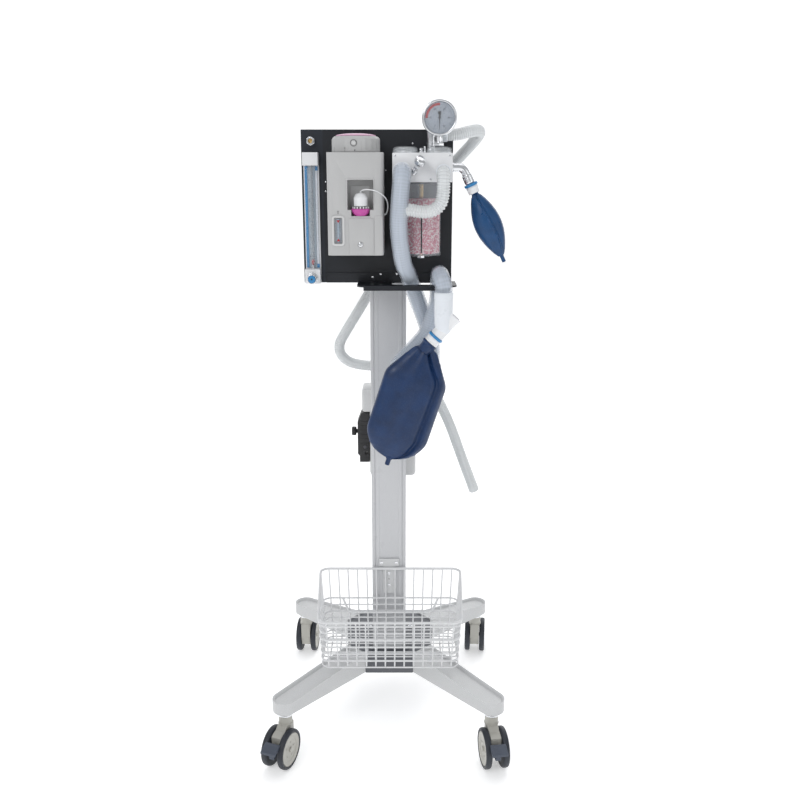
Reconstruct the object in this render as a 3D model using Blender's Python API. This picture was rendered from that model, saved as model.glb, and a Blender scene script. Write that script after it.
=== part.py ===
"""Mobile veterinary anesthesia machine: X base on twin wheel casters, column, wire basket, black panel with
flowmeter, vaporizer and carbon dioxide absorber, breathing hoses and two breathing bags.

Metres, +Z up. The front faces -Y. The origin is on the floor at the middle of the four casters.
"""

import math

import bmesh
import bpy
from mathutils import Matrix, Vector

GAP = 0.0003

# Driving dimensions: base and casters
CASTER_PITCH = 0.412
WHEEL_D = 0.080
WHEEL_W = 0.013
WHEEL_GAP = 0.0225
AXLE_D = 0.008
CASTER_TRAIL = 0.022
CASTER_NECK_D = 0.027
CASTER_NECK_H = 0.030
CASTER_YAW = {"front_left": -22.0, "front_right": 9.0, "rear_left": 176.0, "rear_right": 174.0}
LEG_END_R = 0.0245
LEG_ROOT_HALF = 0.026
LEG_ROOT_REACH = 0.105
LEG_END_H = 0.028
LEG_ROOT_H = 0.049
LEG_CHAMFER = 0.006
HUB_STEP = 0.002
HUB_Y = 0.026
CORNERS = {"front_left": (-1, -1), "front_right": (1, -1), "rear_left": (-1, 1), "rear_right": (1, 1)}

# Driving dimensions: column and what it carries
COLUMN_W = 0.070
COLUMN_D = 0.070
COLUMN_LENGTH = 0.972
COLUMN_Y = -0.0125
COLUMN_GROOVE = 0.0012
BASKET_W = 0.295
BASKET_BOTTOM_W = 0.281
BASKET_DEPTH = 0.132
BASKET_X = 0.003
BASKET_BACK_H = 0.162
BASKET_FRONT_H = 0.104
BASKET_LIFT = 0.030
BASKET_WALL = 0.003
BRACKET_T = 0.003
HOUSING_W = 0.112
HOUSING_D = 0.066
HOUSING_H = 0.190
HOUSING_LIFT = 0.366
CLAMP_W = 0.025
CLAMP_H = 0.108

# Driving dimensions: instrument panel
PANEL_W = 0.275
PANEL_H = 0.274
PANEL_T = 0.002
PANEL_FLANGE = 0.014
PANEL_X = -0.0185
PANEL_DROP = 0.183
PANEL_STANDOFF = 0.038
SHELF_W = 0.181
SHELF_DEPTH = 0.071
SHELF_T = 0.003
SHELF_LIP = 0.009
SHELF_BAR = 0.018
SHELF_X = 0.0355
SHELF_FLANGE_H = 0.0155
SLOT_W = 0.109
SLOT_X = 0.0625
SLOT_MARGIN = 0.004

FLOW_W = 0.028
FLOW_D = 0.027
FLOW_H = 0.233
FLOW_INSET = 0.004
FLOW_BLOCK_TOP = 0.0225
FLOW_BLOCK_BOTTOM = 0.026
FLOW_TUBE_D = 0.016
FLOW_BORE_D = 0.0076
FLOW_KNOB_D = 0.0195
FLOW_KNOB_L = 0.020

VAP_W = 0.0975
VAP_D = 0.088
VAP_H = 0.174
VAP_X = -0.0543
VAP_LIFT = 0.059
VAP_PAD = 0.012
DIAL_D = 0.085
DIAL_H = 0.027
DIAL_CAP_D = 0.070
DIAL_CAP_H = 0.005
FILLER_X = 0.009
FILLER_LIFT = 0.078
RECESS_W = 0.045
RECESS_H = 0.0505
RECESS_D = 0.032
FILLER_COLLAR_D = 0.0365
FILLER_CAP_D = 0.024
FILLER_CAP_H = 0.0225
SIGHT_W = 0.0138
SIGHT_H = 0.0438

HEAD_W = 0.105
HEAD_D = 0.0745
HEAD_H = 0.0495
HEAD_X = 0.062
HEAD_LIFT = 0.183
PORT_D = 0.022
PORT_L = 0.008
PORT_SPREAD = 0.0715
PORT_RISE = 0.0175
DOME_D = 0.045
DOME_H = 0.0105
DOME_SPREAD = 0.0595
DOME_WALL = 0.0016
CANISTER_D = 0.072
CANISTER_H = 0.128
CANISTER_WALL = 0.002
ROD_D = 0.005
LIME_H = 0.0985
LIME_FILL = 0.9912
GAUGE_D = 0.062
GAUGE_DEPTH = 0.026
GAUGE_STEM_H = 0.0175
APL_D = 0.017
APL_H = 0.042

# Driving dimensions: hoses and bags
BREATHING_D = 0.032
CUFF_L = 0.066
EXPIRATORY_D = 0.024
SCAVENGING_D = 0.022
TETHER_D = 0.002
BAG_ARM_D = 0.0155
SMALL_BAG_L = 0.136
SMALL_BAG_W = 0.050
LARGE_BAG_L = 0.236
LARGE_BAG_W = 0.116

# Heights and faces that follow from them
LEG_BOTTOM = WHEEL_D + CASTER_NECK_H
HUB_TOP = LEG_BOTTOM + LEG_ROOT_H - HUB_STEP
COLUMN_FRONT = COLUMN_Y - COLUMN_D / 2
COLUMN_BACK = COLUMN_Y + COLUMN_D / 2
PANEL_BOTTOM = HUB_TOP + COLUMN_LENGTH - PANEL_DROP
PANEL_TOP = PANEL_BOTTOM + PANEL_H
PANEL_BACK = COLUMN_FRONT - PANEL_STANDOFF
PANEL_FACE = PANEL_BACK - PANEL_T
PANEL_LEFT = PANEL_X - PANEL_W / 2
FACE = PANEL_FACE - GAP
VAP_FRONT = FACE - VAP_PAD - VAP_D
VAP_BOTTOM = PANEL_BOTTOM + VAP_LIFT
VAP_TOP = VAP_BOTTOM + VAP_H
DIAL_Y = VAP_FRONT + DIAL_D / 2 + 0.0075
HEAD_BOTTOM = PANEL_BOTTOM + HEAD_LIFT
HEAD_TOP = HEAD_BOTTOM + HEAD_H
HEAD_FRONT = FACE - HEAD_D
DOME_Y = HEAD_FRONT + DOME_D / 2 + 0.0095
GAUGE_X = HEAD_X + DOME_SPREAD / 2
GAUGE_Z = HEAD_TOP + DOME_H + GAUGE_STEM_H + GAUGE_D / 2
CANISTER_Y = FACE - 0.002 - CANISTER_D / 2
ARM_Z = HEAD_BOTTOM + HEAD_H / 2

WHITE_PLASTIC = ((0.78, 0.79, 0.80), 0.45, 0.0)
PALE_GREY = ((0.66, 0.67, 0.68), 0.42, 0.0)
DARK_GREY = ((0.10, 0.105, 0.115), 0.55, 0.0)
BLACK = ((0.008, 0.009, 0.012), 0.45, 0.0)
BEIGE = ((0.42, 0.41, 0.37), 0.5, 0.0)
CHROME = ((0.75, 0.76, 0.78), 0.12, 1.0)
BRASS = ((0.62, 0.45, 0.20), 0.3, 1.0)
CLEAR = ((0.80, 0.85, 0.88), 0.05, 0.0)
BLUE = ((0.02, 0.20, 0.55), 0.5, 0.0)
SKY = ((0.05, 0.38, 0.75), 0.35, 0.0)
MAGENTA = ((0.55, 0.10, 0.35), 0.4, 0.0)
PINK = ((0.66, 0.40, 0.52), 0.4, 0.0)
GRANULE = ((0.65, 0.25, 0.32), 0.9, 0.0)
RED = ((0.55, 0.02, 0.03), 0.4, 0.0)
HOSE = ((0.62, 0.68, 0.76), 0.4, 0.0)


def clear_scene():
    """Removes every object that the scene holds."""
    for old in list(bpy.data.objects):
        bpy.data.objects.remove(old, do_unlink=True)


def finish(obj, look):
    """Gives the object a material of its own, from a colour, a roughness and a metallic value."""
    colour, roughness, metallic = look
    material = bpy.data.materials.new(obj.name)
    material.use_nodes = True
    shader = material.node_tree.nodes["Principled BSDF"]
    shader.inputs["Base Color"].default_value = (*colour, 1.0)
    shader.inputs["Roughness"].default_value = roughness
    shader.inputs["Metallic"].default_value = metallic
    obj.data.materials.append(material)
    return obj


def from_bmesh(name, bm, look, matrix=None):
    """Turns a bmesh into an object with faces that point out; matrix places the mesh."""
    if matrix is not None:
        bmesh.ops.transform(bm, matrix=matrix, verts=bm.verts)
    bmesh.ops.recalc_face_normals(bm, faces=bm.faces)
    mesh = bpy.data.meshes.new(name)
    bm.to_mesh(mesh)
    bm.free()
    mesh.shade_smooth()
    mesh.set_sharp_from_angle(angle=math.radians(32))
    obj = bpy.data.objects.new(name, mesh)
    bpy.context.scene.collection.objects.link(obj)
    return finish(obj, look)


def along(direction, centre=(0, 0, 0)):
    """Matrix that carries +Z onto the direction and the origin onto the centre."""
    turn = Vector((0, 0, 1)).rotation_difference(Vector(direction).normalized())
    return Matrix.Translation(Vector(centre)) @ turn.to_matrix().to_4x4()


def turned(name, profile, look, matrix=None, steps=32, ring=False):
    """Solid of revolution about +Z from (radius, height) points; ring closes the profile on itself."""
    bm = bmesh.new()
    verts = [bm.verts.new((r, 0, z)) for r, z in profile]
    pairs = list(zip(verts, verts[1:]))
    if ring:
        pairs.append((verts[-1], verts[0]))
    edges = [bm.edges.new(pair) for pair in pairs]
    bmesh.ops.spin(
        bm, geom=verts + edges, axis=(0, 0, 1), cent=(0, 0, 0), steps=steps, angle=2 * math.pi,
        use_duplicate=False
    )
    bmesh.ops.remove_doubles(bm, verts=bm.verts, dist=1e-6)
    return from_bmesh(name, bm, look, matrix)


def prism(name, outline, low, high, axis, look, matrix=None):
    """Outline drawn in the plane across the axis and extruded from low to high along it."""
    places = {
        "X": lambda a, b, c: (c, a, b),
        "Y": lambda a, b, c: (a, c, b),
        "Z": lambda a, b, c: (a, b, c),
    }
    place = places[axis]
    bm = bmesh.new()
    base = bm.faces.new([bm.verts.new(place(a, b, low)) for a, b in outline])
    top = bmesh.ops.extrude_face_region(bm, geom=[base])["geom"]
    shift = Vector(place(0, 0, high - low))
    bmesh.ops.translate(bm, vec=shift, verts=[v for v in top if isinstance(v, bmesh.types.BMVert)])
    return from_bmesh(name, bm, look, matrix)


def rounded(low, high, radius, steps=4):
    """Rectangle from low to high with round corners, as a list of points."""
    (x0, y0), (x1, y1) = low, high
    corners = [(x1 - radius, y1 - radius, 0), (x0 + radius, y1 - radius, 90)]
    corners += [(x0 + radius, y0 + radius, 180), (x1 - radius, y0 + radius, 270)]
    points = []
    for cx, cy, start in corners:
        for i in range(steps + 1):
            a = math.radians(start + 90 * i / steps)
            points.append((cx + radius * math.cos(a), cy + radius * math.sin(a)))
    return points


def block(name, low, high, look, bevel=0.0):
    """Box from its low corner to its high corner, its edges rounded by bevel."""
    rectangle = [(low[0], low[1]), (high[0], low[1]), (high[0], high[1]), (low[0], high[1])]
    obj = prism(name, rectangle, low[2], high[2], "Z", look)
    if bevel:
        soften(obj, bevel)
    return obj


def soften(obj, width, segments=2):
    """Rounds the object's sharp edges."""
    bevel = obj.modifiers.new("Rounded edges", "BEVEL")
    bevel.width = width
    bevel.segments = segments
    bevel.limit_method = "ANGLE"
    bevel.angle_limit = math.radians(40)


def combine(obj, other, operation):
    """Boolean of the object with a hidden helper; operation is UNION or DIFFERENCE."""
    other.hide_render = True
    other.display_type = "WIRE"
    boolean = obj.modifiers.new(f"{operation} {other.name}", "BOOLEAN")
    boolean.operation = operation
    boolean.solver = "EXACT"
    boolean.object = other
    return obj


def join(obj, other):
    return combine(obj, other, "UNION")


def cut(obj, other):
    return combine(obj, other, "DIFFERENCE")


def smooth_route(points, per_span):
    """Catmull-Rom curve through the points, with per_span samples between each two of them."""
    pts = [Vector(p) for p in points]
    pts = [2 * pts[0] - pts[1]] + pts + [2 * pts[-1] - pts[-2]]
    smooth = []
    for p0, p1, p2, p3 in zip(pts, pts[1:], pts[2:], pts[3:]):
        for i in range(per_span):
            t = i / per_span
            cubic = 2 * p1 + (p2 - p0) * t + (2 * p0 - 5 * p1 + 4 * p2 - p3) * t**2
            smooth.append((cubic + (3 * p1 - p0 - 3 * p2 + p3) * t**3) / 2)
    return smooth + [pts[-2]]


def cord(name, route, diameter, look, resolution=2):
    """Tube along a free hose or tether: a poly curve with a round bevel and closed ends."""
    curve = bpy.data.curves.new(name, "CURVE")
    curve.dimensions = "3D"
    curve.bevel_depth = diameter / 2
    curve.bevel_resolution = resolution
    curve.use_fill_caps = True
    points = smooth_route(route, 2)
    spline = curve.splines.new("POLY")
    spline.points.add(len(points) - 1)
    for target, p in zip(spline.points, points):
        target.co = (*p, 1.0)
    obj = bpy.data.objects.new(name, curve)
    bpy.context.scene.collection.objects.link(obj)
    return finish(obj, look)


def bag(name, top, bottom, width, thickness, profile, look, rows=12, steps=16):
    """Closed soft bag: ellipses along the line from top to bottom, of half width width / 2 times profile(t)."""
    top, bottom = Vector(top), Vector(bottom)
    down = bottom - top
    side = down.cross(Vector((0, 1, 0))).normalized()
    bm = bmesh.new()
    rings = []
    for i in range(rows + 1):
        t = i / rows
        centre, swell = top + down * t, profile(t)
        ring = []
        for k in range(steps):
            a = 2 * math.pi * k / steps
            across = side * (width / 2 * swell * math.cos(a))
            ring.append(bm.verts.new(centre + across + Vector((0, thickness / 2 * swell * math.sin(a), 0))))
        rings.append(ring)
    for upper, lower in zip(rings, rings[1:]):
        for k in range(steps):
            n = (k + 1) % steps
            bm.faces.new((upper[k], upper[n], lower[n], lower[k]))
    bm.faces.new(rings[0])
    bm.faces.new(rings[-1])
    return from_bmesh(name, bm, look)


# ---------------------------------------------------------------- base


def make_leg(corner, end, angle):
    """Leg along +X, then turned: width and top fall evenly from the hub to a round end above the caster."""
    root = LEG_ROOT_REACH
    outline = [(root + GAP, -LEG_ROOT_HALF + GAP)]
    for i in range(13):
        t = math.radians(-80 + 160 * i / 12)
        outline.append((end + LEG_END_R * math.cos(t), LEG_END_R * math.sin(t)))
    outline.append((root + GAP, LEG_ROOT_HALF - GAP))
    leg = prism(f"leg_{corner}", outline, 0, LEG_END_H, "Z", PALE_GREY)
    rise = (LEG_ROOT_H - LEG_END_H) / (end - root)
    for v in leg.data.vertices:
        if v.co.z > LEG_END_H / 2 and v.co.x < end:
            v.co.z += (end - v.co.x) * rise
    leg.data.transform(Matrix.Translation((0, HUB_Y, LEG_BOTTOM)) @ Matrix.Rotation(angle, 4, "Z"))
    soften(leg, LEG_CHAMFER, 2)


def make_base():
    """Dark hub a little behind the middle of the base, and four pale legs that run from it to the casters."""
    middle = Vector((0, HUB_Y))
    outline = []
    for corner, signs in CORNERS.items():
        run = Vector(signs) * CASTER_PITCH / 2 - middle
        angle = math.atan2(run.y, run.x)
        make_leg(corner, run.length, angle)
        for side in (-1, 1):
            outline.append(Matrix.Rotation(angle, 2) @ Vector((LEG_ROOT_REACH, side * LEG_ROOT_HALF)))
    outline.sort(key=lambda p: math.atan2(p.y, p.x))
    hub = prism("base_hub", [p + middle for p in outline], LEG_BOTTOM, HUB_TOP, "Z", DARK_GREY)
    soften(hub, 0.003)


def hood_outline():
    """Side view of a caster's hood: from the neck over the wheel and down, with an arch below the axle."""
    half, axle = CASTER_NECK_D / 2, WHEEL_D / 2
    radius = WHEEL_D / 2 - 0.004
    points = [(-half, WHEEL_D + 0.003), (half, WHEEL_D + 0.003)]
    for i in range(6):
        a = math.radians(88 - 28 * i / 5)
        points.append((CASTER_TRAIL + radius * math.cos(a), axle + radius * math.sin(a)))
    points += [(CASTER_TRAIL + 0.015, axle - 0.011), (CASTER_TRAIL + 0.009, axle - 0.013)]
    points += [(CASTER_TRAIL + 0.002, axle - 0.010), (CASTER_TRAIL - 0.008, axle - 0.009)]
    points += [(CASTER_TRAIL - 0.018, axle - 0.014), (CASTER_TRAIL - 0.030, axle - 0.012),
               (-half, axle + 0.010)]
    return points


def over_rim(angle, gap):
    """Point a gap over the wheel's rim, in the caster's side view."""
    reach, turn = WHEEL_D / 2 + gap, math.radians(angle)
    return CASTER_TRAIL + reach * math.cos(turn), WHEEL_D / 2 + reach * math.sin(turn)


def make_caster(corner, stem, yaw):
    """Twin wheel caster: hood and neck on the swivel, wheels on one axle, and a brake pedal in front."""
    place = Matrix.Translation((*stem, 0)) @ Matrix.Rotation(math.radians(yaw - 90), 4, "Z")
    axle_z = WHEEL_D / 2
    hood_half = WHEEL_GAP / 2 - 0.0008
    fork = prism(f"caster_fork_{corner}", hood_outline(), -hood_half, hood_half, "Y", BEIGE, place)
    neck_r = CASTER_NECK_D / 2
    collar = [(0, WHEEL_D - 0.006), (neck_r - 0.002, WHEEL_D - 0.006), (neck_r, WHEEL_D + 0.004)]
    collar += [(neck_r, LEG_BOTTOM - 0.008), (neck_r - 0.002, LEG_BOTTOM - 0.006),
               (neck_r - 0.002, LEG_BOTTOM - GAP)]
    neck = turned(f"neck_{corner}", collar + [(0, LEG_BOTTOM - GAP)], BEIGE, place, 24)
    join(fork, neck)
    across = place @ along((0, 1, 0), (CASTER_TRAIL, 0, axle_z))
    bore_r = AXLE_D / 2 + GAP
    bore = turned(
        f"axle_bore_{corner}", [(0, -0.03), (bore_r, -0.03), (bore_r, 0.03), (0, 0.03)], BEIGE, across, 16
    )
    cut(fork, bore)
    inner, outer = WHEEL_GAP / 2, WHEEL_GAP / 2 + WHEEL_W
    r, pin = WHEEL_D / 2, AXLE_D / 2
    half = [(pin, inner), (r - 0.003, inner), (r, inner + 0.003), (r, outer - 0.003), (r - 0.006, outer),
            (0, outer)]
    profile = [(radius, -z) for radius, z in reversed(half)] + half
    wheels = turned(f"caster_wheels_{corner}", profile, DARK_GREY,
                    across @ Matrix.Rotation(math.pi / 2, 4, "Z"), 28)
    wheels.data.transform(Matrix.Translation(-across.translation))
    wheels.location = across.translation
    if corner.startswith("front"):
        root, end = CASTER_TRAIL + (WHEEL_D / 2 - 0.004) / 2 + 0.0025, CASTER_TRAIL + WHEEL_D / 2 - 0.002
        heel, back = over_rim(29.4, 0.00075), over_rim(42.5, GAP)
        tongue = [(root, axle_z - 0.004), (end, axle_z - 0.004), (end, heel[1] + 0.0025)]
        tongue += [(end - 0.0035, heel[1] + 0.0025), (end - 0.0035, heel[1] - 0.0015)]
        tongue += [(root, heel[1] - 0.0015)]
        pedal = prism(f"brake_pedal_{corner}", tongue, -0.0055, 0.0055, "Y", DARK_GREY, place)
        plate = [heel, (heel[0] + 0.0165, heel[1] - 0.006), (heel[0] + 0.0165, heel[1] - 0.001)]
        plate += [(heel[0], heel[1] + 0.006), back]
        join(pedal, prism(f"pedal_plate_{corner}", plate, -0.016, 0.016, "Y", DARK_GREY, place))


def make_casters():
    half = CASTER_PITCH / 2
    for corner, (sx, sy) in CORNERS.items():
        make_caster(corner, (sx * half, sy * half), CASTER_YAW[corner])


# ---------------------------------------------------------------- column, basket and rear pieces


def make_column():
    """Square extrusion with two grooves down each face."""
    half_w, half_d, groove = COLUMN_W / 2, COLUMN_D / 2, COLUMN_GROOVE
    sides = [(half_w, half_d), (half_d, half_w), (half_w, half_d), (half_d, half_w)]
    outline = []
    for quarter, (reach, span) in enumerate(sides):
        turn = Matrix.Rotation(math.radians(-90 * quarter), 2)
        edge = [(-reach + 0.003, span), (-reach + 0.0062, span),
                (-reach + 0.0062 + groove / 2, span - groove)]
        edge += [(-reach + 0.0062 + groove, span), (reach - 0.0062 - groove, span)]
        edge += [(reach - 0.0062 - groove / 2, span - groove), (reach - 0.0062, span),
                 (reach - 0.003, span)]
        outline += [tuple(turn @ Vector(p)) for p in edge]
    bottom = HUB_TOP + GAP
    outline = [(x, y + COLUMN_Y) for x, y in outline]
    prism("column", outline, bottom, bottom + COLUMN_LENGTH, "Z", WHITE_PLASTIC)


def make_basket():
    """Open basket on a bracket: a shell whose rim falls from the back to the front."""
    back = COLUMN_FRONT - BRACKET_T - 3 * GAP
    front = back - BASKET_DEPTH
    bottom = HUB_TOP + BASKET_LIFT
    plate_top = bottom + BASKET_BACK_H + 0.018
    plate = block(
        "basket_bracket", (-0.021, back + 2 * GAP, plate_top - 0.017),
        (0.021, COLUMN_FRONT - GAP, plate_top),
        PALE_GREY,
    )
    strip = block(
        "strip", (-0.0125, back + 2 * GAP, plate_top - 0.078),
        (0.0125, COLUMN_FRONT - GAP, plate_top - 0.010),
        PALE_GREY,
    )
    join(plate, strip)

    def corners(inset, floor):
        """Four floor corners, then four rim corners, set in by inset and with the floor raised."""
        low, high = BASKET_BOTTOM_W / 2 - inset, BASKET_W / 2 - inset
        y0, y1 = front + inset, back - inset
        points = [(-low, y0, floor), (low, y0, floor), (low, y1, floor), (-low, y1, floor)]
        points += [(-high, y0, bottom + BASKET_FRONT_H), (high, y0, bottom + BASKET_FRONT_H)]
        points += [(high, y1, bottom + BASKET_BACK_H), (-high, y1, bottom + BASKET_BACK_H)]
        return [(x + BASKET_X, y, z) for x, y, z in points]

    bm = bmesh.new()
    outer = [bm.verts.new(p) for p in corners(0.0, bottom)]
    inner = [bm.verts.new(p) for p in corners(BASKET_WALL, bottom + BASKET_WALL)]
    for shell in (outer, inner):
        bm.faces.new(shell[:4])
        for i in range(4):
            n = (i + 1) % 4
            bm.faces.new((shell[i], shell[n], shell[4 + n], shell[4 + i]))
    for i in range(4):
        n = (i + 1) % 4
        bm.faces.new((outer[4 + i], outer[4 + n], inner[4 + n], inner[4 + i]))
    from_bmesh("basket", bm, WHITE_PLASTIC)


def make_rear():
    """Housing behind the column, its black clamp with a turn knob, and the clip that holds the waste hose."""
    bottom = HUB_TOP + HOUSING_LIFT
    top = bottom + HOUSING_H
    near, far = COLUMN_BACK + GAP, COLUMN_BACK + GAP + HOUSING_D
    half = HOUSING_W / 2
    split = top - 0.050
    clamp_right = -half + 0.0155
    body = block("rear_housing", (clamp_right, near, bottom), (half, far, split + 0.005), PALE_GREY, 0.008)
    cap = block("housing_cap", (-half, near, split), (half, far, top), PALE_GREY, 0.006)
    join(body, cap)
    low = bottom + 0.030
    x1 = clamp_right - GAP
    x0 = x1 - CLAMP_W
    z0, z1 = low, low + CLAMP_H
    notch = [(x0 + 0.004, z0), (x1, z0), (x1, z1 - GAP), (x0 + 0.008, z1 - GAP), (x0 + 0.004, z1 - 0.010)]
    notch += [(x0, z1 - 0.020), (x0, z0 + 0.018), (x0 + 0.004, z0 + 0.014)]
    clamp = prism("rear_clamp", notch, near + 0.006, near + 0.042, "Y", BLACK)
    eye_z = z0 + 0.020
    eye = along((0, 1, 0), (x1 - 0.006, near + 0.024, eye_z))
    cut(clamp, turned("eye", [(0, -0.03), (0.0035, -0.03), (0.0035, 0.03), (0, 0.03)], BLACK, eye, 16))
    knob_at = (x0 - GAP, near + 0.024, z0 + CLAMP_H * 0.59)
    knob = [(0, 0), (0.0045, 0), (0.0045, 0.003), (0.0085, 0.0035), (0.0095, 0.005), (0.0095, 0.011)]
    knob += [(0.0085, 0.0125), (0, 0.0125)]
    turned("rear_clamp_knob", knob, BLACK, along((-1, 0, 0), knob_at), 16)
    hose_r = SCAVENGING_D / 2 + 5 * GAP
    hose_y, hose_z = COLUMN_BACK + 0.0255, 0.757
    arm = hose_r + 0.003
    clip = [(near, hose_z - 0.020), (near, hose_z + 0.020), (near + 0.003, hose_z + 0.020),
            (near + 0.003, hose_z + arm)]
    clip += [(hose_y + 0.008, hose_z + arm), (hose_y + 0.008, hose_z + hose_r),
             (near + 0.006, hose_z + hose_r)]
    clip += [(near + 0.006, hose_z - hose_r), (hose_y + 0.008, hose_z - hose_r),
             (hose_y + 0.008, hose_z - arm)]
    clip += [(near + 0.003, hose_z - arm), (near + 0.003, hose_z - 0.020)]
    prism("hose_clip", clip, -0.006, 0.006, "X", BLACK)


# ---------------------------------------------------------------- panel, shelf and gas inlet


def make_panel():
    """Sheet metal tray, open at the back, its mount on the column, the hose shelf and the gas inlet nut."""
    right, top = PANEL_LEFT + PANEL_W, PANEL_TOP
    panel = block("panel", (PANEL_LEFT, PANEL_FACE, PANEL_BOTTOM), (right, PANEL_BACK + PANEL_FLANGE, top),
                  BLACK)
    hollow = block(
        "panel_hollow",
        (PANEL_LEFT + PANEL_T, PANEL_BACK, PANEL_BOTTOM + PANEL_T),
        (right - PANEL_T, PANEL_BACK + 2 * PANEL_FLANGE, top - PANEL_T),
        BLACK,
    )
    cut(panel, hollow)
    back, front = COLUMN_FRONT - GAP, PANEL_BACK + GAP
    plate_z = PANEL_BOTTOM + PANEL_H / 2
    mount = block("panel_mount", (-0.060, front, plate_z - 0.085), (0.060, front + 0.004, plate_z + 0.085),
                  PALE_GREY)
    spine = block("mount_spine", (-0.024, front + 0.002, plate_z - 0.070), (0.024, back, plate_z + 0.070),
                  PALE_GREY)
    join(mount, spine)
    make_shelf()
    inlet = along((0, -1, 0), (PANEL_LEFT + 0.018, FACE, PANEL_TOP - 0.020))
    nut = turned(
        "gas_inlet_nut",
        [(0.0045, 0), (0.0082, 0), (0.0082, 0.006), (0.0065, 0.0072), (0.0065, 0.012), (0.0035, 0.012),
         (0.0035, 0.004)],
        CHROME, inlet, 6, ring=True,
    )
    nut.data.shade_flat()


def make_shelf():
    """Black hose shelf below the panel: an upright flange, a plate with a slot, and a lip along its front."""
    z1 = PANEL_BOTTOM + 0.0025
    z0 = z1 - SHELF_T
    x0, x1 = SHELF_X - SHELF_W / 2, SHELF_X + SHELF_W / 2
    front = FACE - SHELF_DEPTH
    outline = [(x0, FACE), (x0, front + 0.014)]
    for i in range(1, 6):
        a = math.radians(180 + 90 * i / 6)
        outline.append((x0 + 0.014 + 0.014 * math.cos(a), front + 0.014 + 0.014 * math.sin(a)))
    outline += [(x0 + 0.014, front), (x1 - 0.014, front)]
    for i in range(1, 6):
        a = math.radians(270 + 90 * i / 6)
        outline.append((x1 - 0.014 + 0.014 * math.cos(a), front + 0.014 + 0.014 * math.sin(a)))
    outline += [(x1, front + 0.014), (x1, FACE)]
    shelf = prism("hose_shelf", outline, z0, z1, "Z", BLACK)
    slot = rounded(
        (SLOT_X - SLOT_W / 2, front + SHELF_BAR), (SLOT_X + SLOT_W / 2, FACE - SLOT_MARGIN), 0.008
    )
    cut(shelf, prism("slot", slot, z0 - 0.02, z1 + 0.02, "Z", BLACK))
    lip = block("lip", (x0 + 0.012, front, z1 - SHELF_LIP), (x1 - 0.012, front + 0.0025, z1 - 0.001), BLACK)
    join(shelf, lip)
    flange = block(
        "shelf_flange", (PANEL_LEFT + 0.042, FACE - 0.002, z0 + 0.0005),
        (PANEL_LEFT + PANEL_W, FACE, z1 + SHELF_FLANGE_H),
        BLACK,
    )
    join(shelf, flange)


# ---------------------------------------------------------------- flowmeter


def make_flowmeter():
    """Oxygen flowmeter: frame with end blocks, clear bored tube, red float and needle valve knob."""
    x = PANEL_LEFT + FLOW_INSET + FLOW_W / 2
    z0 = PANEL_BOTTOM + 0.001
    z1 = z0 + FLOW_H
    half, front = FLOW_W / 2, FACE - FLOW_D
    low_block, high_block = z0 + FLOW_BLOCK_BOTTOM, z1 - FLOW_BLOCK_TOP
    side = [(FACE, z0), (FACE, z1), (front, z1), (front, high_block), (FACE - 0.004, high_block)]
    side += [(FACE - 0.004, low_block), (front, low_block), (front, z0)]
    frame = prism("flowmeter_frame", side, x - half, x + half, "X", WHITE_PLASTIC)
    tube_y = FACE - 0.004 - GAP - FLOW_TUBE_D / 2
    reach = half - 0.0015
    tube = block(
        "flowmeter_tube", (x - reach, tube_y - FLOW_TUBE_D / 2, low_block + GAP),
        (x + reach, tube_y + FLOW_TUBE_D / 2, high_block - GAP), CLEAR, 0.001,
    )
    bore_r = FLOW_BORE_D / 2
    bore = [(0, low_block - 0.01), (bore_r, low_block - 0.01), (bore_r, high_block + 0.01),
            (0, high_block + 0.01)]
    middle = Matrix.Translation((x, tube_y, 0))
    cut(tube, turned("tube_bore", bore, CLEAR, middle, 16))
    r = bore_r - 0.0006
    floor = low_block + 0.006
    shape = [(0, floor), (r * 0.5, floor + 0.002), (r, floor + 0.006), (r, floor + 0.0105),
             (0, floor + 0.0105)]
    turned("flowmeter_float", shape, RED, middle, 16)
    root, pin_r = low_block - 0.0017, 0.0012
    stop = [(0, root), (pin_r, root), (pin_r, floor - GAP), (0, floor - GAP)]
    join(frame, turned("float_stop", stop, CLEAR, middle, 8))
    knob_r = FLOW_KNOB_D / 2
    knob = [(0, 0), (0.004, 0), (0.004, 0.006), (knob_r - 0.001, 0.006), (knob_r, 0.007)]
    knob += [(knob_r, FLOW_KNOB_L - 0.002), (knob_r - 0.0015, FLOW_KNOB_L), (0, FLOW_KNOB_L)]
    turned("flowmeter_knob", knob, SKY, along((0, -1, 0), (x, front - GAP, z0 + 0.010)), 24)


# ---------------------------------------------------------------- vaporizer


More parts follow.
